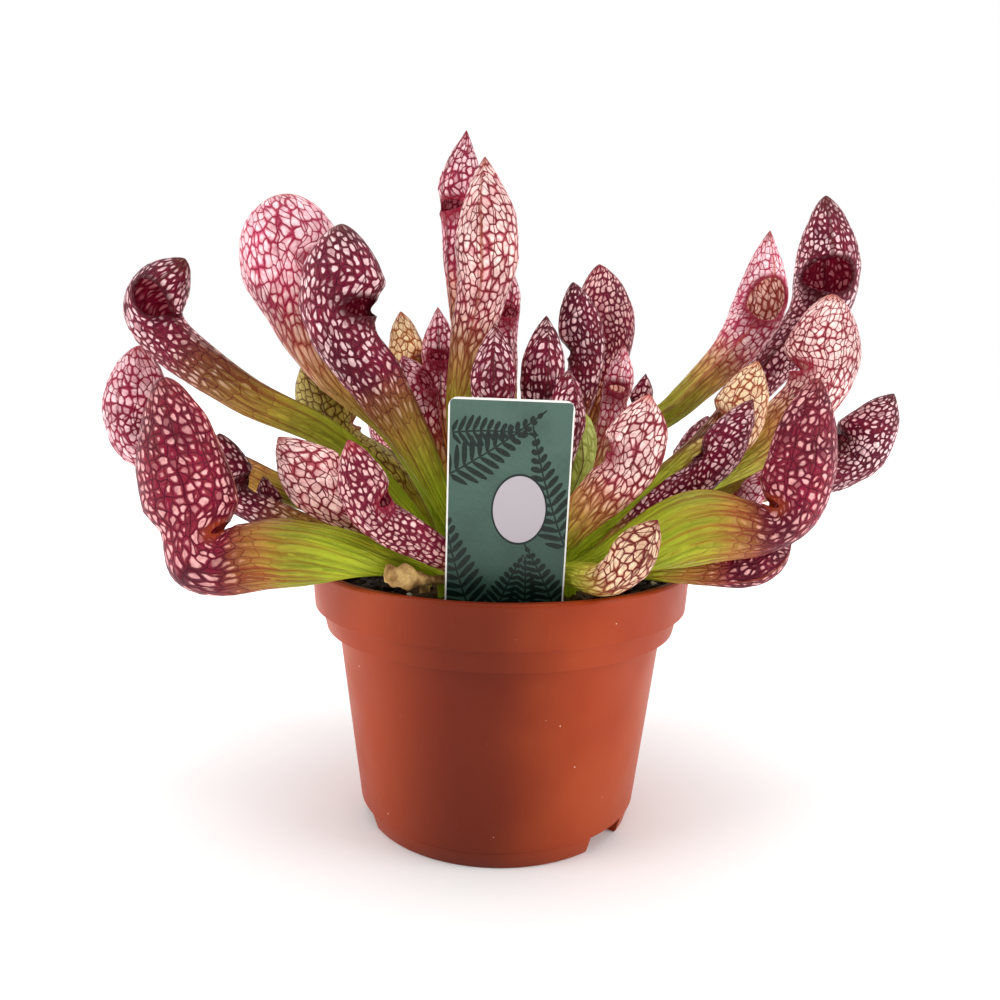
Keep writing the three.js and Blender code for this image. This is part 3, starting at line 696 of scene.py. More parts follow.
@dataclass(frozen=True)
class Sprig:
    """A printed stem with pairs of leaflets, in millimetres on the card."""

    root: tuple[float, float]  # where the stem starts
    heading: float  # which way it runs, in degrees from the card's own right
    length: float
    width: float  # how far its longest leaflets reach from the stem
    leaflets: int  # number of leaflets on a side
    bend: float  # how far its end is bowed to the side

    def mask(self, shade: Shade, card: Socket) -> Socket:
        """Draws the sprig.

        Args:
            shade: The material that it is drawn in.
            card: The place on the card, in millimetres.

        Returns:
            1 on the sprig and 0 off it.
        """
        placed = shade.node("Mapping", {
            "Vector": card, "Location": (*self.root, 0.0),
            "Rotation": (0.0, 0.0, math.radians(self.heading))}, vector_type="TEXTURE").outputs[0]
        along, across = shade.split(placed)
        along = shade.maths("DIVIDE", along, self.length)
        bow = shade.maths("POWER", shade.maths("MAXIMUM", along, 0.0), 2.0)
        bow = shade.maths("MULTIPLY", bow, self.bend)
        across = shade.maths("ABSOLUTE", shade.maths("SUBTRACT", across, bow))
        inside = shade.step(along, 0.99, 1.0, 1.0, 0.0)
        inside = shade.maths("MULTIPLY", shade.step(along, 0.0, 0.01), inside)
        # Leaflets lean forwards and are longest a third of the way up.
        reach = shade.maths("MULTIPLY", shade.maths("SUBTRACT", 1.0, along), shade.step(along, -0.25, 0.35))
        reach = shade.maths("MULTIPLY", reach, self.width * 1.35)
        part = shade.maths("DIVIDE", across, shade.maths("MAXIMUM", reach, 0.05))
        phase = shade.maths("MULTIPLY_ADD", across, -0.55 * self.leaflets / self.length,
                            shade.maths("MULTIPLY", along, self.leaflets))
        beat = shade.maths("PINGPONG", phase, 0.5)
        # A leaflet is an oval: widest in its middle, closed at its ends.
        oval = shade.maths("MULTIPLY", part, shade.maths("SUBTRACT", 1.0, part))
        oval = shade.maths("POWER", shade.maths("MAXIMUM", shade.maths("MULTIPLY", oval, 4.0), 0.0), 0.5)
        oval = shade.maths("MULTIPLY", oval, 0.36)
        leaf = shade.step(shade.maths("SUBTRACT", oval, beat), -0.02, 0.02)
        stem = shade.step(across, 0.18, 0.3, 1.0, 0.0)
        return shade.maths("MULTIPLY", shade.maths("MAXIMUM", leaf, stem), inside)


SPRIGS = (
    Sprig((-15.5, 33.0), heading=30.0, length=30.0, width=6.5, leaflets=13, bend=3.0),
    Sprig((-15.0, 44.0), heading=8.0, length=22.0, width=4.5, leaflets=12, bend=-3.0),
    Sprig((15.5, 14.0), heading=112.0, length=34.0, width=6.5, leaflets=14, bend=-3.0),
    Sprig((-8.0, -8.0), heading=112.0, length=36.0, width=7.0, leaflets=14, bend=-4.5),
    Sprig((-3.0, -8.0), heading=74.0, length=21.0, width=5.5, leaflets=11, bend=-2.0),
    Sprig((5.0, -9.0), heading=84.0, length=20.0, width=5.5, leaflets=11, bend=2.0),
    Sprig((15.5, -9.0), heading=108.0, length=26.0, width=6.5, leaflets=12, bend=3.0),
)


@dataclass(frozen=True)
class CardFinish:
    """The printed face of the plant label: leafy sprigs in dark green round a plain oval panel."""

    name: str = "label_print"
    slot: str = "label_plastic"
    ground: str = "344e44"
    ground_top: str = "4a645a"
    ink: str = "04140f"
    panel: str = "b3abb1"
    edge: str = "eceae4"
    sprigs: tuple[Sprig, ...] = SPRIGS
    panel_at: tuple[float, float] = (3.0, 24.0)  # the panel's middle, in millimetres
    panel_half: tuple[float, float] = (7.2, 9.6)  # half its width and height, with its dark line
    border: tuple[float, float] = (15.5, 52.6)  # where the bare edge begins, to the side and at the top

    @cached_property
    def material(self) -> bpy.types.Material:
        """The finish as a material.

        Returns:
            The material, which is made once and then shared.
        """
        shade = Shade(self.name, roughness=0.35, specular=0.25)
        card = shade.map(Layer.CARD)
        x, y = shade.split(card)
        ground = shade.blend(shade.step(y, -10.0, 50.0), dye(self.ground), dye(self.ground_top))
        tint = shade.noise(card, 0.06, 3.0)
        ground = shade.blend(shade.step(tint, 0.35, 0.7, 0.0, 0.3), ground, dye(self.ink))
        ink, *others = [sprig.mask(shade, card) for sprig in self.sprigs]
        for other in others:
            ink = shade.maths("MAXIMUM", ink, other)
        worn = shade.step(shade.noise(card, 1.5, 4.0), 0.25, 0.6, 0.85, 1.0)
        colour = shade.blend(shade.maths("MULTIPLY", ink, worn), ground, dye(self.ink))
        colour = self._panelled(shade, x, y, colour)
        side, head = self.border
        beside = shade.step(shade.maths("ABSOLUTE", x), side, side + 0.12)
        above = shade.step(y, head, head + 0.12)
        colour = shade.blend(shade.maths("MAXIMUM", beside, above), colour, dye(self.edge))
        shade.paint(colour)
        shade.relief(shade.noise(card, 0.8, 3.0), depth=0.03)
        return shade.material

    def _panelled(self, shade: Shade, x: Socket, y: Socket, colour: Socket) -> Socket:
        """Draws the plain upright oval with a dark line round it.

        Args:
            shade: The material that it is drawn in.
            x: The place across the card, in millimetres.
            y: The place up the card, in millimetres.
            colour: The print without the panel.

        Returns:
            The print with the panel.
        """
        (middle_x, middle_y), (half_x, half_y) = self.panel_at, self.panel_half
        off_x = shade.maths("DIVIDE", shade.maths("ADD", x, -middle_x), half_x)
        off_y = shade.maths("DIVIDE", shade.maths("ADD", y, -middle_y), half_y)
        off = shade.node("CombineXYZ", {0: off_x, 1: off_y}).outputs[0]
        out = shade.node("VectorMath", {0: off}, operation="LENGTH").outputs["Value"]
        colour = shade.blend(shade.step(out, 1.0, 1.03, 1.0, 0.0), colour, dye(self.ink))
        return shade.blend(shade.step(out, 0.945, 0.96, 1.0, 0.0), colour, dye(self.panel))

    @cached_property
    def plain(self) -> bpy.types.Material:
        """The unprinted edges and back of the card.

        Returns:
            The material.
        """
        shade = Shade(self.name + "_bare", roughness=0.4)
        tint = shade.noise(shade.place(), 0.1, 3.0)
        shade.paint(shade.ramp(tint, [(0.3, "dcd9d0"), (0.7, self.edge)]))
        return shade.material


# ---------------------------------------------------------------- pitcher leaves


class Centreline:
    """A smooth curve through points, followed by its own length."""

    STEPS = 400  # parts that its length is measured in
    NEAR = 0.0001  # share to each side of a point that its direction is read from

    def __init__(self, points: list[Vector]) -> None:
        """Measures the curve.

        Args:
            points: The points that it runs through, in millimetres.
        """
        self.points = points
        samples = [self.at_share(i / self.STEPS) for i in range(self.STEPS + 1)]
        self.lengths = [0.0]
        for before, after in zip(samples, samples[1:]):
            self.lengths.append(self.lengths[-1] + (after - before).length)

    @property
    def length(self) -> float:
        """The whole length."""
        return self.lengths[-1]

    def at_share(self, share: float) -> Vector:
        """The point at a share of the spans between the points.

        Args:
            share: From 0 to 1, with each span counting alike.

        Returns:
            The point on a Catmull-Rom curve whose knots are spaced by the root of their distance.
        """
        spans = len(self.points) - 1
        span = min(int(share * spans), spans - 1)
        part = share * spans - span
        p1, p2 = self.points[span], self.points[span + 1]
        p0 = self.points[span - 1] if span > 0 else 2 * p1 - p2
        p3 = self.points[span + 2] if span + 2 <= spans else 2 * p2 - p1
        before, here, after = ((b - a).length ** 0.5 for a, b in ((p0, p1), (p1, p2), (p2, p3)))
        start = ((p1 - p0) / before - (p2 - p0) / (before + here) + (p2 - p1) / here) * here
        end = ((p2 - p1) / here - (p3 - p1) / (here + after) + (p3 - p2) / after) * here
        square, cube = part**2, part**3
        return (
            p1 * (2 * cube - 3 * square + 1) + p2 * (3 * square - 2 * cube)
            + start * (cube - 2 * square + part) + end * (cube - square))

    def share_at(self, along: float) -> float:
        """Turns a part of the length into a share of the spans.

        Args:
            along: The part of the length, from 0 to 1.

        Returns:
            The share of the spans, from 0 to 1.
        """
        target = clamp01(along) * self.length
        after = min(max(1, bisect_left(self.lengths, target)), self.STEPS)
        low, high = self.lengths[after - 1], self.lengths[after]
        return (after - 1 + (target - low) / (high - low)) / self.STEPS

    def at(self, along: float) -> tuple[Vector, Vector]:
        """The place a part of the length along.

        Args:
            along: The part of the length, from 0 to 1.

        Returns:
            The point there and the direction of the curve.
        """
        share = self.share_at(along)
        ahead = self.at_share(min(1.0, share + self.NEAR))
        behind = self.at_share(max(0.0, share - self.NEAR))
        return self.at_share(share), (ahead - behind).normalized()


@dataclass(frozen=True)
class Ring:
    """One round of a leaf: its middle, its directions and its half width."""

    centre: Vector
    inner: Vector  # towards the side that the mouth is on
    side: Vector
    forward: Vector  # along the leaf, away from its foot
    radius: float
    arc: float  # millimetres along the leaf from its foot


@dataclass
class Pitcher:
    """A hooded leaf: a tube that widens up to a mouth, under a closed hood.

    Places and sizes are in millimetres. A place along the leaf, called rise here, runs from 0 at the
    foot to 1 at the mouth, and on to 2 at the hood's tip. A place round it, called turn, is in degrees
    from the side that the mouth is on.
    """

    foot: tuple[float, float]
    way: tuple[Point, ...]  # points that the tube bends through
    mouth: Point
    tip: Point
    face: float  # heading that the mouth looks to, in degrees from +X
    girth: float  # the head's width across
    finish: LeafFinish
    flare: float = 2.0  # how late the tube widens
    dome: float = 0.3  # 0 for a pointed hood, 1 for a round one
    beak: float = 0.12  # how far the hood bulges over the mouth
    wing: float = 1.5  # height of the wing along the tube
    opening: float = 0.22  # the part of the hood's length that is open
    large: bool = False  # whether it is made of more and smaller faces, with a wider mouth
    green: float = 0.5  # where on the tube the green begins to give way
    flush: float = 0.92  # where the head's full colour begins
    notch: float = 0.14  # how far the neck is drawn in under the mouth
    nape: float = 0.0  # how far the back of the neck is drawn in, above a bulge
    lip: float = 0.08  # how far the mouth's lower lip stands out
    roll: float = 0.32  # how far the skin turns in at the mouth
    awning: float = 0.03  # how far the hood stands out over the mouth
    drop: float = 0.15  # how much of the mouth the hood hangs over
    swell: float = 0.1  # how much wider than the mouth the hood grows
    belly: float = 0.0  # how far the tube bulges under the mouth, in millimetres
    grain: float = 1.0  # how fine the net of veins is

    ROOT = 73.0  # height at which the foot starts, inside the crown
    RISE = 82.0  # height to which the foot stands straight up
    FOOT_RADIUS = 1.6
    LAYERS = (Layer.NET, Layer.RISE, Layer.MOUTH)
    POCKET = 0.6  # rise at which the hollow under the mouth ends
    LINING_TIP = 1.9  # rise at which the hollow under the hood ends
    UPWARD = 0.6  # how far upwards the mouth's side looks, against 1 outwards
    THINNEST = 0.15  # least half width of a skin
    WIDE = 0.3  # opening past which the hood stands clear of the mouth
    ROUNDED = 2.4  # how far out the rounding of the mouth fades away, in half mouths
    FAR = 9.0  # stands for a place that is nowhere near the mouth
    MOUTH_SHADE_REACH = 5.0  # millimetres that the painted shade round the mouth reaches

    @cached_property
    def line(self) -> Centreline:
        """The leaf's centreline."""
        x, y = self.foot
        points = [(x, y, self.ROOT), (x, y, self.RISE), *self.way, self.mouth, self.tip]
        return Centreline([Vector(point) for point in points])

    @cached_property
    def mouth_at(self) -> float:
        """The part of the centreline's length at which the mouth is."""
        spans = len(self.line.points) - 1
        index = round(Centreline.STEPS * (spans - 1) / spans)
        return self.line.lengths[index] / self.line.length

    @property
    def mouth_turn(self) -> float:
        """How far round the leaf the mouth reaches to each side."""
        return 50.0 if self.large else 36.0

    @property
    def wide_open(self) -> bool:
        """Whether the mouth is open so far that the hood doesn't hang over it."""
        return self.opening > self.WIDE

    @property
    def full(self) -> float:
        """Half width of the leaf at its mouth."""
        return 0.45 * self.girth

    @cached_property
    def hood_length(self) -> float:
        """Length of the hood in millimetres."""
        return (1 - self.mouth_at) * self.line.length

    def width(self, rise: float) -> float:
        """The outline of the leaf, seen from its front.

        Args:
            rise: Place along the leaf.

        Returns:
            Half its width there.
        """
        if rise <= 1:
            belly = self.belly * math.sin(math.pi * rise**1.8) ** 2
            return self.FOOT_RADIUS + (self.full - self.FOOT_RADIUS) * rise**self.flare + belly
        part = min(1.0, rise - 1)
        swell = 1 + self.swell * math.sin(math.pi * part**0.75)
        close = (1 - part ** mix(2.1, 3.2, self.dome)) ** mix(0.95, 0.55, self.dome)
        return self.full * swell * close

    def ring(self, rise: float) -> Ring:
        """One round of the leaf.

        Args:
            rise: Place along the leaf.

        Returns:
            The round there.
        """
        along = self.mouth_at * rise if rise <= 1 else mix(self.mouth_at, 1.0, rise - 1)
        centre, forward = self.line.at(along)
        facing = math.radians(self.face)
        inner = Vector((math.cos(facing), math.sin(facing), self.UPWARD))
        inner = (inner - forward * inner.dot(forward)).normalized()
        return Ring(centre, inner, forward.cross(inner), forward, self.width(rise), along * self.line.length)

    def tone(self, rise: float) -> float:
        """The colour's place along the leaf.

        Args:
            rise: Place along the leaf.

        Returns:
            0 at the foot, 1 where the green ends, 2 in full colour and 3 at the tip.
        """
        if rise < self.green:
            return rise / self.green
        if rise < self.flush:
            return 1 + (rise - self.green) / (self.flush - self.green)
        return 2 + (rise - self.flush) / (2 - self.flush)

    def net_height(self, arc: float) -> float:
        """The net's own measure along the leaf, by which its cells grow long down the tube.

        Args:
            arc: Millimetres from the foot.

        Returns:
            The place on the net, in its own millimetres.
        """
        above = arc - self.mouth_at * self.line.length * mix(self.green, self.flush, 0.7)
        return 0.68 * above + 0.32 * math.hypot(above, 8)

    def warp(self, rise: float, turn: float) -> tuple[float, float, float]:
        """Rounds the mouth's square corners.

        Args:
            rise: Place along the leaf.
            turn: Place round the leaf.

        Returns:
            The new rise and turn, and how far out from the mouth's middle it is: 1 is on its edge.
        """
        half = self.opening / 2
        x, y = turn / self.mouth_turn, (rise - 1 - half) / half
        out = max(abs(x), abs(y))
        if out > self.ROUNDED or out == 0:
            return rise, turn, out
        on_x, on_y = x / out, y / out
        shift_x = on_x * math.sqrt(1 - on_y**2 / 2) - on_x
        shift_y = on_y * math.sqrt(1 - on_x**2 / 2) - on_y
        fade = smooth((self.ROUNDED - out) / (self.ROUNDED - 1)) if out > 1 else 1.0
        return rise + shift_y * fade * half, turn + shift_x * fade * self.mouth_turn, out

    def neck(self, rise: float, turn: float, out: float) -> float:
        """How the neck, the nape and the lower lip shift the skin.

        Args:
            rise: Place along the leaf.
            turn: Place round the leaf.
            out: How far from the mouth's middle it is.

        Returns:
            How far it is shifted towards the mouth's side, as a part of the half width.
        """
        drawn_in = self.notch * hump(rise - 0.96, 0.1) * hump(turn, 60) * clamp01(out / 2)
        nape = hump(rise - 1.19, 0.08) - 1.4 * hump(rise - 1, 0.07)
        stands = self.nape * nape * hump(180 - abs(turn), 70) - drawn_in
        if rise < 1 + 0.4 * self.opening:
            stands += self.lip * hump(rise - 1, 0.06) * hump(turn, 42)
        return stands

    def overhang(self, rise: float, turn: float) -> float:
        """How much of its reach over the mouth the hood has at a place, from 0 to 1."""
        middle, top = 1 + 0.4 * self.opening, 1 + self.opening
        below = smooth((rise - middle) / (top - middle))
        return below * hump(max(0.0, rise - top), 0.2) * hump(turn, 48)

    def point(self, rise: float, turn: float, inset: float, out: float, ring: Ring, girth: float) -> Vector:
        """A point of the skin.

        Args:
            rise: Place along the leaf.
            turn: Place round the leaf.
            inset: How far in from the outer skin it lies.
            out: How far from the mouth's middle it is.
            ring: The leaf's round at the rise.
            girth: Part of the round's width that is used, less than 1 where an end is closed.

        Returns:
            The point, in millimetres.
        """
        angle = math.radians(turn)
        radius = max(self.THINNEST, ring.radius - inset) * girth
        hooded = girth == 1 and not self.wide_open
        over = self.overhang(rise, turn) if hooded else 0.0
        reach = radius * (math.cos(angle) + self.neck(rise, turn, out) + self.awning * over)
        if rise > 1:
            bulge = self.beak * math.sin(math.pi * min(1.0, 0.25 + 0.75 * (rise - 1)))
            reach += radius * bulge * max(0.0, math.cos(angle))
        elif inset == 0:
            crest = clamp01(1 - abs(turn) / 20) ** 1.3
            reach += self.wing * math.sin(math.pi * clamp01((rise - 0.1) / 0.9) ** 1.3) * crest
        if hooded:
            reach -= self.roll * radius * hump(out - 1, 0.7)
        spot = ring.centre + ring.side * (radius * math.sin(angle)) + ring.inner * reach
        spot -= ring.forward * (self.drop * self.opening * self.hood_length * over)

        # The head is a little uneven, with a rolled lip and a keel down its back.
        head = smooth((rise - 0.55) / 0.4) * smooth((2 - rise) / 0.25) * girth
        away = head * (0.55 * noise.noise(spot / 9) + 0.22 * noise.noise(spot / 3.7))
        if out >= 1 and girth == 1 and not (self.wide_open and rise > 1.1):
            away += (0.7 if self.large else 0.5) * hump(out - 1.12, 0.3)
        if inset == 0:
            away += 0.4 * hump((180 - abs(turn)) / 7, 1) * head
        return spot + (ring.side * math.sin(angle) + ring.inner * math.cos(angle)) * away

    def rises(self, start: float, end: float) -> list[tuple[float, float]]:
        """Rows along a skin, closer together towards the mouth and the tip.

        Args:
            start: Rise at which the skin starts.
            end: Rise at which it ends.

        Returns:
            The rise of each row and the part of the leaf's width that is used there.
        """
        low, high = (34, 24) if self.large else (26, 18)
        mid = 12 if self.wide_open else 7
        top = 1 + self.opening
        tube = [1 - (1 - i / low) ** 1.25 for i in range(low)]
        opening = [1 + self.opening * i / mid for i in range(mid + 1)]
        hood = [top + (2 - top) * (1 - (1 - i / high) ** 1.6) for i in range(1, high)]
        rows = [(rise, 1.0) for rise in tube + opening + hood if start < rise < end - 0.004]
        # The outer skin stands on a flat foot, and the hollow has a rounded floor.
        closing = [(start, 0.0), (start, 1.0)]
        if start > 0:
            closing = [(start, 0.0), (start + 0.01, 0.5), (start + 0.03, 0.85)]
        rows = [row for row in rows if row[0] > closing[-1][0]]
        return [*closing, *rows, (end, 0.0)]

    def turns(self) -> list[float]:
        """Columns round the leaf, closer together at the mouth's edge and down the back.

        Returns:
            The turn of each column, from the back round the front to the back again.
        """
        edge = self.mouth_turn
        near = [0, 0.05, 0.13, 0.24, 0.38, 0.54, 0.76, 1] if self.large else [0, 0.1, 0.22, 0.4, 0.66, 1]
        far = [0.07, 0.16, 0.27, 0.38, 0.5, 0.62, 0.73, 0.83, 0.91, 0.965, 1]
        half = [edge * part for part in near] + [mix(edge, 180, part) for part in far]
        return [-turn for turn in reversed(half)] + half[1:]

    def marks(self, rise: float, turn: float, out: float, ring: Ring, girth: float) -> tuple[Vector, ...]:
        """What the finish reads at a point of the skin.

        Args:
            rise: Place along the leaf.
            turn: Place round the leaf.
            out: How far from the mouth's middle it is.
            ring: The leaf's round at the rise.
            girth: Part of the round's width that is used.

        Returns:
            The point's place in each of the UV maps.
        """
        wide = 0.45 * self.full + 0.55 * ring.radius
        near = clamp01(1 - (out - 1) * self.opening * self.hood_length / self.MOUTH_SHADE_REACH)
        # Each leaf lies on its own stretch of the net.
        apart = Vector((self.tip[0] * 3, self.tip[2]))
        return (
            Vector((math.radians(turn) * wide, self.net_height(ring.arc))) * self.grain + apart,
            Vector((turn / 180, self.tone(rise))),
            Vector((near if girth == 1 else 0.0, 0.0)))

    def skin(self, mesh: BMesh, start: float, end: float, inset: float, material: int) -> None:
        """Adds one skin to the mesh, with the hole of its mouth.

        Args:
            mesh: The mesh to add it to.
            start: Rise at which it starts, closed.
            end: Rise at which it ends, closed.
            inset: How far in from the outer skin it lies. A skin that is inset faces inwards.
            material: Number of its material.
        """
        rows, columns = self.rises(start, end), self.turns()
        across, up = len(columns) - 1, len(rows) - 1
        layers = [mesh.loops.layers.uv[layer.value] for layer in self.LAYERS]
        grid = bmesh.ops.create_grid(mesh, x_segments=across, y_segments=up, size=0.5)["verts"]
        rings: dict[float, Ring] = {}
        marks: dict[BMVert, tuple[Vector, ...]] = {}
        hole: set[BMVert] = set()
        welded: list[BMVert] = []
        for vert in grid:
            column = round((vert.co.x + 0.5) * across)
            row = round((vert.co.y + 0.5) * up)
            (rise, girth), turn = rows[row], columns[column]
            if 0.999 <= rise <= 1.001 + self.opening and abs(turn) <= self.mouth_turn + 0.01:
                hole.add(vert)
            if girth == 0 or column in (0, across):
                welded.append(vert)
            out = self.FAR
            if girth == 1:
                rise, turn, out = self.warp(rise, turn)
            key = round(rise, 5)
            if key not in rings:
                rings[key] = self.ring(key)
            vert.co = self.point(rise, turn, inset, out, rings[key], girth)
            marks[vert] = self.marks(rise, turn, out, rings[key], girth)
        faces = list(dict.fromkeys(face for vert in grid for face in vert.link_faces))
        for face in faces:
            face.material_index = material
            for loop in face.loops:
                for layer, value in zip(layers, marks[loop.vert]):
                    loop[layer].uv = value
        gone = [face for face in faces if all(vert in hole for vert in face.verts)]
        if inset:
            bmesh.ops.reverse_faces(mesh, faces=faces)
        bmesh.ops.delete(mesh, geom=gone, context="FACES")
        bmesh.ops.remove_doubles(mesh, verts=welded, dist=1e-5)

    def close_mouth(self, mesh: BMesh) -> None:
        """Joins the two skins round the mouth with a rounded lip.

        Args:
            mesh: The mesh that holds the two skins.
        """
        layers = [mesh.loops.layers.uv[layer.value] for layer in self.LAYERS]
        edges = [edge for edge in mesh.edges if edge.is_boundary]
        marks = {}
        for edge in edges:
            for loop in edge.link_loops:
                if loop.face.material_index == 0:
                    for end in (loop, loop.link_loop_next):
                        marks[end.vert] = [end[layer].uv.copy() for layer in layers]
        made = bmesh.ops.bridge_loops(mesh, edges=edges)
        for face in made["faces"]:
            known = [loop.vert for loop in face.loops if loop.vert in marks]
            for loop in face.loops:
                near = min(known, key=lambda vert: (vert.co - loop.vert.co).length)
                for layer, value in zip(layers, marks[near]):
                    loop[layer].uv = value
        split = bmesh.ops.subdivide_edges(mesh, edges=made["edges"], cuts=1, use_grid_fill=False)
        middle = [part for part in split["geom_inner"] if isinstance(part, BMVert)]
        for vert in middle:
            vert.co += vert.normal * WALL / 3

    def build(self, name: str) -> bpy.types.Object:
        """Makes the leaf.

        Args:
            name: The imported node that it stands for.

        Returns:
            The finished leaf.
        """
        piece = Piece(name + "_leaf", self.finish.slot)
        for layer in self.LAYERS:
            piece.mesh.loops.layers.uv.new(layer.value)
        self.skin(piece.mesh, 0.0, 2.0, 0.0, 0)
        self.skin(piece.mesh, self.POCKET, self.LINING_TIP, WALL, 1)
        self.close_mouth(piece.mesh)
        piece.mesh.normal_update()
        piece.materials = [self.finish.material, self.finish.lining.material]
        return piece.finish(name)


LEFT_LEAVES = (
    Pitcher(foot=(-17, -31), way=((-36, -44, 91), (-58, -46, 92)), mouth=(-78, -46, 93),
            tip=(-91, -43, 139), face=10, girth=21, flare=1.5, dome=1, beak=0.05, wing=1, large=True,
            green=0.72, flush=0.97, opening=0.14, notch=0.0, nape=0.22, lip=0.05, awning=0, swell=0.3,
            belly=2.4, grain=1.1, finish=CRIMSON),
    Pitcher(foot=(-17, -13), way=((-48, -13, 119), (-81, -14, 136)), mouth=(-105, -14, 157),
            tip=(-93, -19, 173), face=-45, girth=17, flare=1.1, dome=0.6, beak=0.15, wing=2.5,
            large=True, opening=0.6, green=0.55, flush=0.95, grain=1.25, finish=MAROON),
    Pitcher(foot=(-25, -1), way=((-85, 10, 106),), mouth=(-120, 12, 119), tip=(-120, 12, 149), face=0,
            girth=21, dome=0.8, grain=1.15, finish=ROSY),
    Pitcher(foot=(-23, -19), way=((-58, -12, 92),), mouth=(-84, -8, 104), tip=(-88, -8, 122), face=-15,
            girth=13, dome=0.6, beak=0.45, grain=1.35, finish=MAROON),
    Pitcher(foot=(-16, 3), way=((-35, 5, 120), (-57, 6, 144)), mouth=(-67, 6, 171),
            tip=(-70, 7, 196.5), face=10, girth=34, flare=3, dome=0.95, beak=0.03, large=True,
            swell=0.03, green=0.5, flush=1.0, grain=0.95, finish=PALE),
    Pitcher(foot=(-10, -14), way=((-25, -18, 116), (-36, -20, 135)), mouth=(-46, -22, 155),
            tip=(-47, -22, 183), face=-15, girth=25, dome=0.7, beak=0.12, wing=2.5, large=True,
            green=0.5, flush=0.86, opening=0.28, lip=0.08, roll=0.35, awning=0.03, drop=0.1,
            grain=1.1, finish=MAROON),
    Pitcher(foot=(-21, 9), way=((-36, 16, 106),), mouth=(-55, 20, 118), tip=(-67, 21, 147), face=20,
            girth=21, dome=0.5, green=0.3, flush=0.7, finish=OLIVE),
    Pitcher(foot=(-16, -24), way=((-34, -31, 97),), mouth=(-49, -34, 107), tip=(-63, -34, 123),
            face=30, girth=17, beak=0.3, grain=1.2, finish=WARM),
    Pitcher(foot=(-3, -35), way=((-19, -45, 94),), mouth=(-33, -50, 105), tip=(-40, -53, 124), face=-20,
            girth=15, flare=1.4, beak=0, green=0.25, flush=0.65, awning=0, grain=1.4, finish=DEEP),
    Pitcher(foot=(-29, -9), way=((-55, -3, 90),), mouth=(-73, 0, 96), tip=(-77, 0, 108), face=0,
            girth=9, grain=1.4, finish=MAROON),
)

MIDDLE_LEAVES = (
    Pitcher(foot=(-5, -5), way=((-14, -7, 125), (-11, -8, 150)), mouth=(-6, -10, 174),
            tip=(-7, -10, 205), face=80, girth=20, dome=0.1, large=True, green=0.6, flush=0.88,
            grain=1.1, finish=WARM),
    Pitcher(foot=(-6, 9), way=((-14, 19, 160),), mouth=(-16, 22, 194), tip=(-14, 22, 221), face=-135,
            girth=16, dome=0, large=True, grain=1.15, opening=0.18, finish=ROSY),
    Pitcher(foot=(2, 10), way=((1, 22, 130),), mouth=(-1, 26, 160), tip=(0, 27, 182), face=-60,
            girth=13, dome=0, grain=1.3, finish=ROSY),
    Pitcher(foot=(-1, -14), way=((-3, -21, 112),), mouth=(-3, -24, 136), tip=(-3, -24, 156), face=90,
            girth=14, dome=0.1, grain=1.3, finish=MAROON),
    Pitcher(foot=(6, -8), way=((9, -13, 112),), mouth=(11, -16, 137), tip=(12, -16, 159), face=100,
            girth=14, dome=0.2, grain=1.3, finish=MAROON),
    Pitcher(foot=(7, -20), way=((14, -25, 106),), mouth=(18, -26, 126), tip=(18, -26, 143), face=120,
            girth=11, dome=0.5, grain=1.4, finish=MAROON),
    Pitcher(foot=(10, -1), way=((21, 2, 122),), mouth=(25, 4, 147), tip=(21, 4, 171), face=180,
            girth=14, dome=0.6, grain=1.35, finish=MAROON),
    Pitcher(foot=(10, 9), way=((25, 16, 122),), mouth=(34, 22, 152), tip=(31, 22, 179), face=-170,
            girth=20, dome=0.6, large=True, grain=1.3, finish=DEEP),
    Pitcher(foot=(15, -6), way=((29, 0, 112),), mouth=(36, 4, 136), tip=(38, 5, 152), face=-95,
            girth=10, dome=0, grain=1.4, finish=PALE),
    Pitcher(foot=(16, 5), way=((33, 15, 110),), mouth=(45, 15, 131), tip=(47, 15, 143), face=180,
            girth=8, dome=0, grain=1.4, finish=MAROON),
    Pitcher(foot=(9, -26), way=((19, -36, 98),), mouth=(34, -41, 118), tip=(39, -42, 137), face=150,
            girth=17.5, flare=1.4, large=True, green=0.55, flush=0.95, grain=1.25, finish=WARM),
    Pitcher(foot=(14, -13), way=((20, -10, 104),), mouth=(24, -9, 117), tip=(23, -9, 131), face=90,
            girth=10, dome=1, grain=1.2, finish=YOUNG),
    Pitcher(foot=(-9, 2), way=((-19, 7, 122),), mouth=(-21, 10, 145), tip=(-22, 10, 163), face=-90,
            girth=13, dome=0, grain=1.3, finish=ROSY),
    Pitcher(foot=(-12, 11), way=((-26, 16, 120),), mouth=(-32, 18, 143), tip=(-35, 18, 162), face=-20,
            girth=12, dome=0.4, grain=1.2, finish=CREAM),
    Pitcher(foot=(-11, -7), way=((-22, -3, 118),), mouth=(-27, -2, 134), tip=(-32, -2, 147), face=-40,
            girth=13, dome=0.2, opening=0.55, grain=1.3, finish=ROSY),
)

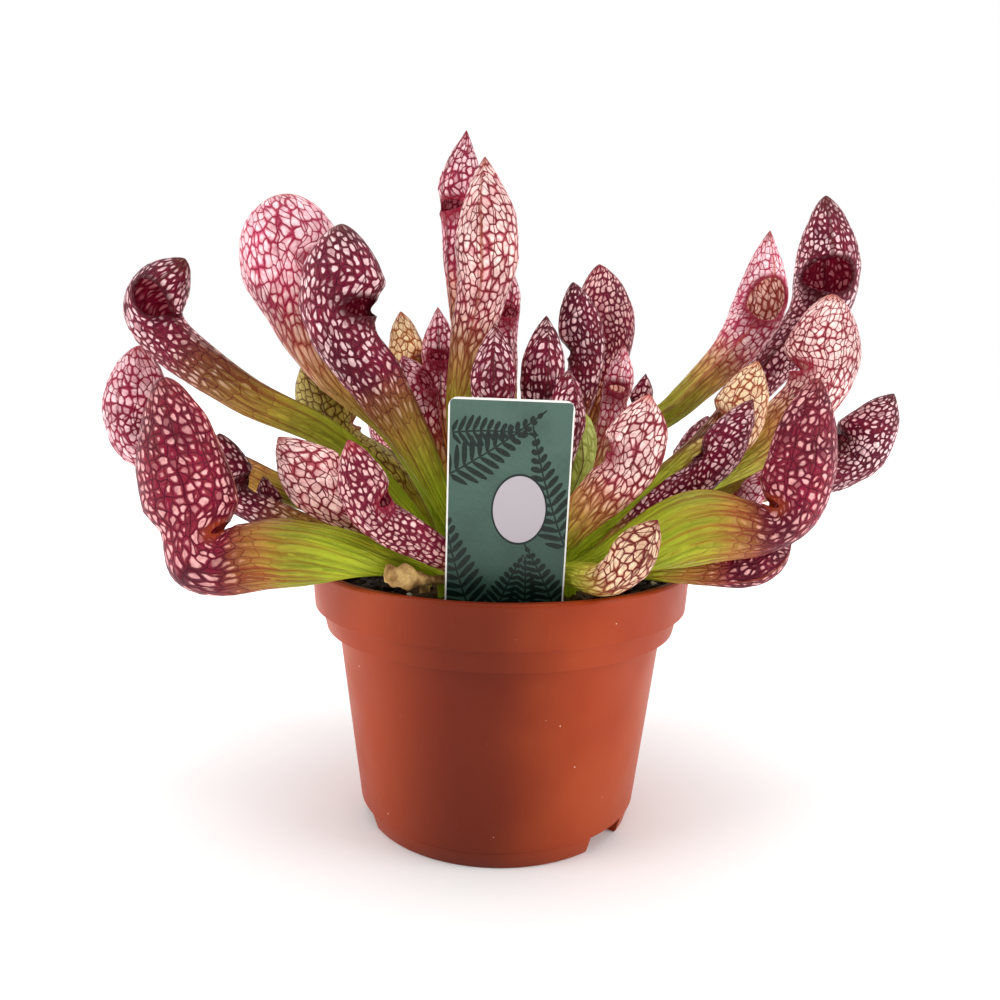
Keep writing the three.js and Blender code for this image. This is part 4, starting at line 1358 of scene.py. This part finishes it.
RIGHT_LEAVES = (
    Pitcher(foot=(21, -1), way=((38, 8, 117), (58, 9, 134)), mouth=(80, 10, 160), tip=(84, 10, 189),
            face=-80, girth=18, dome=0, wing=2.5, opening=0.48, large=True, green=0.72, flush=0.95,
            grain=1.3, finish=PALE),
    Pitcher(foot=(18, 12), way=((66, 20, 118), (90, 22, 145)), mouth=(107, 24, 169), tip=(106, 24, 203),
            face=-105, girth=22, dome=0.5, opening=0.38, large=True, green=0.35, flush=0.7, grain=1.3,
            finish=MAROON),
    Pitcher(foot=(22, -8), way=((60, -6, 108), (82, -5, 122)), mouth=(96, -5, 141), tip=(100, -5, 168),
            face=168, girth=22, dome=0.7, large=True, green=0.7, flush=0.98, grain=1.4, finish=WARM),
    Pitcher(foot=(15, -31), way=((33, -42, 93), (53, -45, 101)), mouth=(74, -46, 104),
            tip=(83, -44, 142), face=170, girth=15.5, flare=1.4, dome=1, beak=0.05, wing=1, large=True,
            green=0.75, flush=0.98, opening=0.14, notch=0.0, lip=0.05, awning=0, swell=0.33, belly=4.8,
            grain=1.25, finish=CRIMSON),
    Pitcher(foot=(29, -4), way=((80, 1, 106),), mouth=(112, 4, 117), tip=(125, 4, 138), face=175,
            girth=18, dome=0.4, beak=0.25, grain=1.45, finish=MAROON),
    Pitcher(foot=(20, -14), way=((50, -15, 108),), mouth=(68, -16, 126), tip=(75, -16, 147), face=180,
            girth=16, dome=0.4, grain=1.3, green=0.72, flush=1.0, finish=GOLDEN),
    Pitcher(foot=(25, -20), way=((42, -26, 100),), mouth=(58, -30, 116), tip=(70, -31, 136), face=170,
            girth=12.5, flare=1.2, green=0.3, flush=0.65, grain=1.5, finish=MAROON),
    Pitcher(foot=(27, -13), way=((58, -22, 98),), mouth=(70, -26, 106), tip=(78, -28, 117), face=150,
            girth=8, grain=1.5, finish=PALE),
    Pitcher(foot=(21, -28), way=((36, -33, 87), (50, -36, 88)), mouth=(69, -36, 89.5),
            tip=(82, -35, 97), face=90, girth=14, flare=1.6, green=0.62, flush=0.95, grain=1.35,
            finish=CRIMSON),
    Pitcher(foot=(6, -36), way=((17, -41, 87), (27, -54, 88.5)), mouth=(32, -59, 94),
            tip=(39, -62, 106), face=90, girth=12, flare=1.4, green=0.62, flush=0.95, grain=1.3,
            finish=TAN),
)

BACK_LEAVES = (
    Pitcher(foot=(-8, 19), way=((-13, 42, 98),), mouth=(-17, 66, 110), tip=(-17, 72, 140), face=-80,
            girth=22, dome=0.5, wing=5, large=True, grain=1.2, finish=CRIMSON),
    Pitcher(foot=(6, 19), way=((11, 44, 96),), mouth=(16, 78, 104), tip=(17, 86, 132), face=-100,
            girth=22, dome=0.5, wing=5, large=True, grain=1.2, finish=MAROON),
    Pitcher(foot=(13, 17), way=((29, 40, 106),), mouth=(38, 58, 120), tip=(41, 62, 145), face=-120,
            girth=18, dome=0.5, grain=1.2, finish=GOLDEN),
    Pitcher(foot=(-17, 16), way=((-32, 38, 106),), mouth=(-42, 54, 118), tip=(-47, 60, 142), face=-50,
            girth=18, dome=0.6, grain=1.3, finish=ROSY),
    Pitcher(foot=(25, 8), way=((52, 34, 96),), mouth=(71, 52, 104), tip=(78, 56, 128), face=-145,
            girth=18, dome=0.5, beak=0.25, grain=1.3, finish=MAROON),
    Pitcher(foot=(-27, 5), way=((-48, 34, 96),), mouth=(-63, 54, 104), tip=(-68, 59, 127), face=-40,
            girth=17, dome=0.4, grain=1.2, finish=PALE),
    Pitcher(foot=(-1, 17), way=((-3, 33, 120),), mouth=(-5, 42, 151), tip=(-5, 45, 178), face=-90,
            girth=17, dome=0.2, grain=1.2, finish=ROSY),
)


@dataclass
class Clump:
    """All the living leaves, by the side of the plant that they stand on."""

    sides: dict[str, tuple[Pitcher, ...]] = field(default_factory=lambda: {
        "left": LEFT_LEAVES, "middle": MIDDLE_LEAVES, "right": RIGHT_LEAVES, "back": BACK_LEAVES})

    def build(self) -> None:
        """Makes every leaf."""
        for side, leaves in self.sides.items():
            for number, leaf in enumerate(leaves, 1):
                leaf.build(f"pitcher_{side}_{number}")


@dataclass
class DriedLeaf:
    """A leaf that has died back: a flattened stalk that ends in a crumpled scrap (millimetres)."""

    foot: tuple[float, float]
    way: tuple[Point, ...]  # points that it bends through
    end: Point
    width: float  # half width of the scrap
    height: float  # half its thickness, folds and all
    crumple: float  # depth of its folds, as a part of its size
    scrap_from: float  # the part of its length at which the scrap begins
    finish: DryFinish
    stalk: float = 1.6  # half width of the stalk

    AROUND = 28  # faces round it
    ROWS = 44  # faces along it

    def opened(self, along: float) -> float:
        """How far the stalk has opened into the scrap at a part of the length, from 0 to 1."""
        return smooth((along - self.scrap_from) / 0.25)

    def size(self, along: float) -> tuple[float, float]:
        """The size of a cross section.

        Args:
            along: Place along the leaf, as a part of its length.

        Returns:
            Half its width and half its height.
        """
        if along in (0.0, 1.0):
            return 0.0, 0.0
        opened = self.opened(along)
        close = math.sqrt(1 - clamp01((along - 0.85) / 0.2))
        width = mix(self.stalk, self.width, opened)
        height = mix(self.stalk * 0.8, self.height, opened)
        return width * close, height * close

    def build(self, name: str) -> bpy.types.Object:
        """Makes the leaf.

        Args:
            name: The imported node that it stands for.

        Returns:
            The finished leaf.
        """
        x, y = self.foot
        points = [(x, y, Pitcher.ROOT), (x, y, Pitcher.RISE), *self.way, self.end]
        line = Centreline([Vector(point) for point in points])
        piece = Piece(name + "_scrap", self.finish.slot)
        grid = bmesh.ops.create_grid(piece.mesh, x_segments=self.AROUND, y_segments=self.ROWS, size=0.5)
        for vert in grid["verts"]:
            turn = (vert.co.x + 0.5) * math.tau
            along = vert.co.y + 0.5
            centre, forward = line.at(along)
            up = Vector((0.1, 0.2, 1.0))
            up = (up - forward * up.dot(forward)).normalized()
            side = forward.cross(up)
            width, height = self.size(along)
            opened = self.opened(along)
            crease = 1 + self.crumple * opened * math.cos(3 * turn + 5 * math.sin(along * 13))
            spot = centre + side * (width * crease * math.sin(turn))
            spot += up * (height * crease * math.cos(turn))
            ragged = Vector((noise.noise(spot / 3.2), noise.noise(spot / 3.5 + up), noise.noise(spot / 2.8)))
            vert.co = spot + ragged * (0.9 * opened if width else 0)
        bmesh.ops.remove_doubles(piece.mesh, verts=piece.mesh.verts, dist=1e-4)
        piece.mesh.normal_update()
        if piece.mesh.calc_volume(signed=True) < 0:
            bmesh.ops.reverse_faces(piece.mesh, faces=piece.mesh.faces)
        piece.materials = [self.finish.material]
        return piece.finish(name)


DRY = DryFinish()
DRIED_LEAVES = (
    DriedLeaf(foot=(-10, -33), way=((-20, -45, 85.5),), end=(-31, -52, 88.5), width=3.8, height=3.4,
              crumple=0.16, scrap_from=0.62, finish=DRY),
    DriedLeaf(foot=(-23, -26), way=((-40, -30, 92),), end=(-62, -33, 99), width=4.5, height=1.8,
              crumple=0.22, scrap_from=0.55, finish=DRY),
)


# ---------------------------------------------------------------- pot, earth and label


def turned(mesh: BMesh, profile: Outline, steps: int) -> None:
    """Spins an outline round the upright axis into a closed solid.

    Args:
        mesh: The empty mesh to make it in.
        profile: Its outline, from one place on the axis to another.
        steps: Number of faces round it.
    """
    verts = [mesh.verts.new((radius, 0.0, height)) for radius, height in profile]
    edges = [mesh.edges.new(pair) for pair in zip(verts, verts[1:])]
    bmesh.ops.spin(mesh, geom=verts + edges, cent=(0, 0, 0), axis=(0, 0, 1), angle=math.tau,
                   steps=steps, use_merge=True)
    bmesh.ops.remove_doubles(mesh, verts=mesh.verts, dist=1e-5)
    bmesh.ops.recalc_face_normals(mesh, faces=mesh.faces)


def soften(mesh: BMesh, offset: float, segments: int, least: float = 25.0) -> None:
    """Rounds the sharp edges of a solid.

    Args:
        mesh: The solid.
        offset: Width of the rounding.
        segments: Number of faces across it.
        least: Angle in degrees past which an edge is sharp.
    """
    sharp = [edge for edge in mesh.edges
             if edge.is_manifold and edge.calc_face_angle() > math.radians(least)]
    bmesh.ops.bevel(mesh, geom=sharp, offset=offset, segments=segments, affect="EDGES", profile=0.5,
                    material=-1, clamp_overlap=True)


def carved(body: BMesh, cutters: list[BMesh]) -> BMesh:
    """Cuts solids out of a solid.

    Args:
        body: The solid that is cut.
        cutters: The solids to take away, one after the other.

    Returns:
        What is left, as a new mesh.
    """
    def scratch(mesh: BMesh) -> bpy.types.Object:
        """Turns a mesh into an object for the cut.

        Args:
            mesh: The mesh, which is freed.

        Returns:
            The object.
        """
        data = bpy.data.meshes.new("scratch")
        mesh.to_mesh(data)
        mesh.free()
        made = bpy.data.objects.new("scratch", data)
        bpy.context.scene.collection.objects.link(made)
        return made

    target = scratch(body)
    tools = [scratch(cutter) for cutter in cutters]
    for tool in tools:
        cut = target.modifiers.new("cut", "BOOLEAN")
        cut.operation = "DIFFERENCE"
        cut.solver = "EXACT"
        cut.object = tool
    graph = bpy.context.evaluated_depsgraph_get()
    left = bmesh.new()
    left.from_mesh(target.evaluated_get(graph).to_mesh())
    for spent in (target, *tools):
        data = spent.data
        bpy.data.objects.remove(spent)
        bpy.data.meshes.remove(data)
    return left


@dataclass
class Pot:
    """The nursery pot: two bands under the rim, a tapering body and a notched base (millimetres)."""

    rim: float = 60.0  # radius
    height: float = 82.9
    upper: float = 70.0  # bottom of the upper band
    lower: float = 63.0  # bottom of the lower band
    base: float = 42.9  # radius of the foot
    body_top: float = 51.9  # radius of the body where the lower band begins
    band: tuple[float, float] = (55.5, 57.0)  # radii of the lower band, at its bottom and its top
    crease: float = 6.0  # height of the groove near the foot
    wall: float = 1.2
    band_wall: float = 1.4
    rim_wall: float = 2.7
    floor: float = 1.6
    draft: float = 0.04  # how much the inside of the rim widens as it rises
    notches: int = 3  # drainage notches round the foot
    notch_heading: float = -40.0  # degrees from +X to the first of them
    notch_length: float = 16.0
    notch_reach: float = 6.0
    notch_height: float = 5.4
    slot_length: float = 9.0  # the slot through the wall behind each notch
    slot_height: float = 2.4
    steps: int = 192  # faces round the pot
    sharp: float = 32.0  # degrees past which an edge is shaded sharp
    finish: PotFinish = PotFinish()

    def inside(self, margin: float, floor: float, top: float) -> Outline:
        """Outline of the inside.

        Args:
            margin: How far it is drawn in from the wall.
            floor: Height at which it begins.
            top: Height at which it ends.

        Returns:
            The outline, from the axis to the axis.
        """
        shelf = self.lower + self.wall + margin
        step = self.upper + self.wall + margin
        mouth = self.rim - self.rim_wall - margin
        band_low, band_high = self.band
        return [
            (0.0, floor), (self.base - self.wall - margin, floor),
            (self.base + 0.8 - margin, self.crease),
            (self.body_top - self.band_wall - margin, shelf),
            (band_low - self.band_wall - margin, shelf),
            (band_high - self.band_wall - margin, step), (mouth, step),
            (mouth + self.draft * (top - self.upper), top), (0.0, top)]

    def outside(self) -> Outline:
        """Outline of the outside, with a shallow groove at the crease.

        Returns:
            The outline, from the axis to the axis.
        """
        return [
            (0.0, 0.0), (self.base - 0.5, 0.0), (self.base, 0.6),
            (self.base + 1.5, self.crease - 0.5), (self.base + 1.45, self.crease - 0.15),
            (self.base + 2, self.crease + 0.1),
            (self.body_top, self.lower), (self.band[0], self.lower), (self.band[1], self.upper),
            (self.rim - 0.9, self.upper), (self.rim, self.height - 0.8),
            (self.rim - 0.5, self.height), (self.rim - 2, self.height), (0.0, self.height)]

    def blocks(self, reach: float, length: float, low: float, high: float, out: float) -> Iterator[BMesh]:
        """Boxes round the foot, one at each notch.

        Args:
            reach: How far each box reaches in and out from its middle.
            length: Its length along the wall.
            low: Height of its bottom.
            high: Height of its top.
            out: Radius at which its middle lies.

        Yields:
            The boxes, one after the other.
        """
        for number in range(self.notches):
            box = bmesh.new()
            bmesh.ops.create_cube(box, size=1.0)
            bmesh.ops.scale(box, vec=(2 * reach, length, high - low), verts=box.verts)
            bmesh.ops.translate(box, vec=(out, 0, (high + low) / 2), verts=box.verts)
            heading = math.radians(self.notch_heading + 360 / self.notches * number)
            bmesh.ops.rotate(box, cent=(0, 0, 0), matrix=Matrix.Rotation(heading, 3, "Z"), verts=box.verts)
            yield box

    def build(self) -> None:
        """Makes the pot."""
        solid = bmesh.new()
        turned(solid, self.outside(), self.steps)
        soften(solid, 0.3, 3)
        hollow = bmesh.new()
        turned(hollow, self.inside(0.0, self.floor, self.height + 1), self.steps)
        soften(hollow, 0.4, 2)
        # The hollow keeps clear of the notches, so that each has a wall round it.
        wall, high, out = self.wall, self.notch_height, self.base + 1
        grown = self.blocks(self.notch_reach + wall, self.notch_length + 2 * wall, -high, high + wall, out)
        hollow = carved(hollow, list(grown))
        notches = self.blocks(self.notch_reach, self.notch_length, -high, high, out)
        slots = self.blocks(self.notch_reach, self.slot_length, high - 1.5 * self.slot_height,
                            high - 0.5 * self.slot_height, self.base - self.notch_reach)
        piece = Piece("nursery_pot", self.finish.slot)
        piece.mesh = carved(solid, [hollow, *notches, *slots])
        piece.materials = [self.finish.material]
        for face in piece.mesh.faces:
            face.material_index = 0
        made = piece.finish("pot")
        made.data.set_sharp_from_angle(angle=math.radians(self.sharp))


@dataclass
class Earth:
    """The peat that fills the pot, its loose crumbs and the rootstock that the leaves grow from."""

    pot: Pot
    gap: float = 0.35  # between the peat and the pot
    lift: float = 4.0  # how far the peat ends above the pot's floor, over the drainage slots
    top: float = 76.0  # height of the peat
    crown_y: float = -7.0  # how far the rootstock stands off the pot's middle
    crown_radius: float = 34.0
    crown_top: float = 78.0
    crown_bottom: float = 68.0
    crumbs: int = 900
    grains: int = 26  # of perlite
    reach: float = 56.5  # radius past which no crumb lies
    seed: int = 11

    def build(self) -> None:
        """Makes the peat, the crumbs and the rootstock."""
        self._peat()
        self._crumbs()
        self._crown()

    def _peat(self) -> None:
        """The filling, with a lumpy top."""
        piece = Piece("peat_filling", PEAT.slot)
        profile = self.pot.inside(self.gap, self.pot.floor + self.gap + self.lift, self.top)
        rim = profile[-2][0]
        top = [(rim * (1 - i / 26), self.top) for i in range(1, 26)]
        turned(piece.mesh, [*profile[:-1], *top, (0.0, self.top)], 120)
        for vert in piece.mesh.verts:
            if vert.co.z > self.top - 0.01:
                spot = vert.co
                vert.co.z += 1.3 * noise.noise(spot / 6) + 0.8 * noise.noise(spot / 2.1) - 0.2
        piece.materials = [PEAT.material]
        piece.finish("soil")

    def _crumbs(self) -> None:
        """Loose crumbs and a few grains of perlite on the peat."""
        draw = random.Random(self.seed)
        for name, finish, count, sizes in (
            ("peat_crumbs", PEAT, self.crumbs, (0.5, 1.5)),
            ("perlite_grains", PERLITE, self.grains, (0.7, 1.3)),
        ):
            piece = Piece(name, finish.slot)
            for _ in range(count):
                heading = draw.uniform(0, math.tau)
                away = self.crown_radius * math.sqrt(draw.uniform(0.55, 2.7))
                x, y = away * math.cos(heading), away * math.sin(heading) + self.crown_y * 0.3
                size = draw.uniform(*sizes)
                shape = [draw.uniform(0.7, 1.5), draw.uniform(0.7, 1.4), draw.uniform(0.5, 0.9)]
                tilt = Matrix.Rotation(draw.uniform(0, math.tau), 3, Vector((
                    draw.uniform(-1, 1), draw.uniform(-1, 1), 1.0)))
                if math.hypot(x, y) > self.reach:
                    continue
                lump = bmesh.ops.create_icosphere(piece.mesh, subdivisions=1, radius=1.0)["verts"]
                bmesh.ops.scale(piece.mesh, vec=Vector(shape) * size, verts=lump)
                bmesh.ops.rotate(piece.mesh, cent=(0, 0, 0), matrix=tilt, verts=lump)
                bmesh.ops.translate(piece.mesh, vec=(x, y, self.top + 0.4), verts=lump)
            piece.materials = [finish.material]
            piece.finish()

    def _crown(self) -> None:
        """The knobbly rootstock, standing a little proud of the peat."""
        piece = Piece("rootstock", ROOT.slot)
        middle = (self.crown_top + self.crown_bottom) / 2
        profile = [(0.0, self.crown_bottom), (self.crown_radius - 3, self.crown_bottom),
                   (self.crown_radius, middle), (self.crown_radius - 1.5, self.crown_top - 1.6)]
        inner = [(self.crown_radius * (1 - i / 22) - 2, self.crown_top - 0.6) for i in range(1, 20)]
        turned(piece.mesh, [*profile, *inner, (0.0, self.crown_top - 0.6)], 110)
        for vert in piece.mesh.verts:
            heading = math.atan2(vert.co.y, vert.co.x)
            lobe = 1 + math.sin(5 * heading + 0.7) / self.crown_radius
            vert.co.x *= lobe
            vert.co.y = vert.co.y * lobe + self.crown_y
            if vert.co.z > middle:
                vert.co.z += 1.5 * noise.noise(vert.co / 5) + 0.8 * noise.noise(vert.co / 1.9)
        piece.materials = [ROOT.material]
        piece.finish("crown")


@dataclass
class PlantLabel:
    """The card with rounded top corners on a blunt stake, pushed into the peat (millimetres)."""

    width: float = 32.0
    thickness: float = 0.9
    top: float = 136.0
    bottom: float = 58.0
    stake_top: float = 74.0
    stake_width: float = 18.0
    corner: float = 2.4  # radius of the top corners
    rim_y: float = -48.0  # where the card's middle passes the height of the rim
    rim_z: float = 82.9
    lean: float = 9.5  # degrees that it leans back
    slant: float = 1.1  # degrees that it leans to one side
    centre_x: float = 1.0
    finish: CardFinish = CardFinish()

    def build(self) -> None:
        """Makes the card."""
        piece = Piece("label_card", self.finish.slot)
        mesh = piece.mesh
        half, stake = self.width / 2, self.stake_width / 2
        top, shoulder, bottom = (z - self.rim_z for z in (self.top, self.stake_top, self.bottom))
        corners = [(-stake, bottom), (stake, bottom), (half, shoulder), (half, top), (-half, top),
                   (-half, shoulder)]
        verts = [mesh.verts.new((x, y, -self.thickness / 2)) for x, y in corners]
        mesh.faces.new(verts)
        bmesh.ops.bevel(mesh, geom=[verts[3], verts[4]], offset=self.corner, segments=10,
                        affect="VERTICES", profile=0.5, material=-1)
        front = bmesh.ops.extrude_face_region(mesh, geom=list(mesh.faces))["geom"]
        bmesh.ops.translate(mesh, vec=(0, 0, self.thickness),
                            verts=[part for part in front if isinstance(part, BMVert)])
        bmesh.ops.recalc_face_normals(mesh, faces=mesh.faces)
        soften(mesh, 0.14, 2, 60)
        card = mesh.loops.layers.uv.new(Layer.CARD.value)
        for face in mesh.faces:
            face.material_index = 0 if face.normal.z > 0.9 else 1
            for loop in face.loops:
                loop[card].uv = loop.vert.co.xy
        upright = Matrix.Rotation(math.radians(90 + self.lean), 4, "X")
        slanted = Matrix.Rotation(math.radians(-self.slant), 4, "Z")
        place = Matrix.Translation((self.centre_x, self.rim_y, self.rim_z))
        bmesh.ops.transform(mesh, matrix=place @ upright @ slanted, verts=mesh.verts)
        piece.materials = [self.finish.material, self.finish.plain]
        piece.finish("plant_label", smooth_faces=False)


# ---------------------------------------------------------------- studio


@dataclass
class Studio:
    """The floor, the lights and the camera, in metres."""

    lit: Point = (0.0, 0.0, 0.1)  # where the lamps look
    floor_radius: float = 12.0
    eye: Point = (0.0, -0.2755, 0.1397)
    look_down: float = 0.137  # radians below the horizon
    roll: float = 0.019  # how far the camera is turned, in radians
    focal: float = 0.864  # focal length as a part of the picture's width
    middle: float = 0.5022  # where the lens's axis meets the picture, as a part of its width
    sensor: float = 36.0

    def build(self) -> None:
        """Makes the studio."""
        self._floor()
        self._sky()
        self._lamp("left_softbox", (-0.85, -0.35, 0.42), (0.5, 0.8), 5.4)
        self._lamp("right_softbox", (0.85, -0.3, 0.42), (0.5, 0.8), 5.4)
        self._lamp("top_softbox", (0.0, -0.25, 0.95), (0.8, 0.8), 3.6)
        self._camera()
        view = bpy.context.scene.view_settings
        view.view_transform = "Standard"

    def _lamp(self, name: str, place: Point, size: tuple[float, float], power: float) -> None:
        """A soft lamp that looks at the plant.

        Args:
            name: What it is called.
            place: Where it hangs.
            size: Its width and height.
            power: In watts.
        """
        data = bpy.data.lights.new(name, "AREA")
        data.shape = "RECTANGLE"
        data.size, data.size_y = size
        data.energy = power
        lamp = bpy.data.objects.new(name, data)
        lamp.location = place
        lamp.rotation_euler = (Vector(self.lit) - Vector(place)).to_track_quat("-Z", "Y").to_euler()
        bpy.context.scene.collection.objects.link(lamp)

    def _sky(self) -> None:
        """White wherever it is seen, and its light is weaker from in front of the plant."""
        world = bpy.data.worlds.new("studio")
        bpy.context.scene.world = world
        world.use_nodes = True
        nodes, links = world.node_tree.nodes, world.node_tree.links
        ray = nodes.new("ShaderNodeTexCoord")
        parts = nodes.new("ShaderNodeSeparateXYZ")
        links.new(ray.outputs["Generated"], parts.inputs[0])
        level = nodes.new("ShaderNodeMapRange")
        level.interpolation_type = "SMOOTHSTEP"
        for name, value in (("From Min", -0.7), ("From Max", 0.45), ("To Min", 0.15), ("To Max", 1.0)):
            level.inputs[name].default_value = value
        links.new(parts.outputs[1], level.inputs["Value"])
        seen = nodes.new("ShaderNodeLightPath")
        brighter = nodes.new("ShaderNodeMath")
        brighter.operation = "MAXIMUM"
        links.new(level.outputs[0], brighter.inputs[0])
        links.new(seen.outputs["Is Camera Ray"], brighter.inputs[1])
        links.new(brighter.outputs[0], nodes["Background"].inputs["Strength"])
        nodes["Background"].inputs["Color"].default_value = (1, 1, 1, 1)

    def _floor(self) -> None:
        """A pale floor that turns to white far away."""
        mesh = bmesh.new()
        bmesh.ops.create_circle(mesh, cap_ends=True, segments=96, radius=self.floor_radius)
        data = bpy.data.meshes.new("studio_floor")
        mesh.to_mesh(data)
        mesh.free()
        floor = bpy.data.objects.new("studio_floor", data)
        bpy.context.scene.collection.objects.link(floor)
        shade = Shade("pale_floor", roughness=0.9, specular=0.1)
        shade.surface.inputs["Base Color"].default_value = (0.88, 0.88, 0.88, 1)
        # It glows a little more away from the plant, so that it meets the backdrop in white.
        spot = shade.node("TexCoord", {}).outputs["Object"]
        away = shade.node("VectorMath", {0: spot}, operation="LENGTH").outputs["Value"]
        shade.surface.inputs["Emission Color"].default_value = (1, 1, 1, 1)
        glow = shade.step(away, 0.03, 0.4, 0.08, 0.66)
        shade.links.new(glow, shade.surface.inputs["Emission Strength"])
        data.materials.append(shade.material)
        floor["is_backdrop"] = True

    def _camera(self) -> None:
        """The camera at the photograph's place."""
        data = bpy.data.cameras.new("camera")
        data.sensor_width = self.sensor
        data.lens = self.focal * self.sensor
        data.shift_x = 0.5 - self.middle
        data.clip_start = 0.01
        camera = bpy.data.objects.new("camera", data)
        aim = Matrix.Rotation(math.pi / 2 - self.look_down, 4, "X") @ Matrix.Rotation(self.roll, 4, "Z")
        camera.matrix_world = Matrix.Translation(self.eye) @ aim
        bpy.context.scene.collection.objects.link(camera)
        bpy.context.scene.camera = camera


def main() -> None:
    """Builds the pot, the earth, the label, the leaves and the studio."""
    logging.basicConfig(level=logging.INFO, format="%(message)s")
    pot = Pot()
    pot.build()
    Earth(pot).build()
    PlantLabel().build()
    Clump().build()
    for number, leaf in enumerate(DRIED_LEAVES, 1):
        leaf.build(f"dried_leaf_{number}")
    Studio().build()
    boxes = {"cad": CAD_BOX, "visual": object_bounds()}
    sizes = {name: [list(corner) for corner in corners] for name, corners in boxes.items()}


if __name__ == "__main__":
    main()
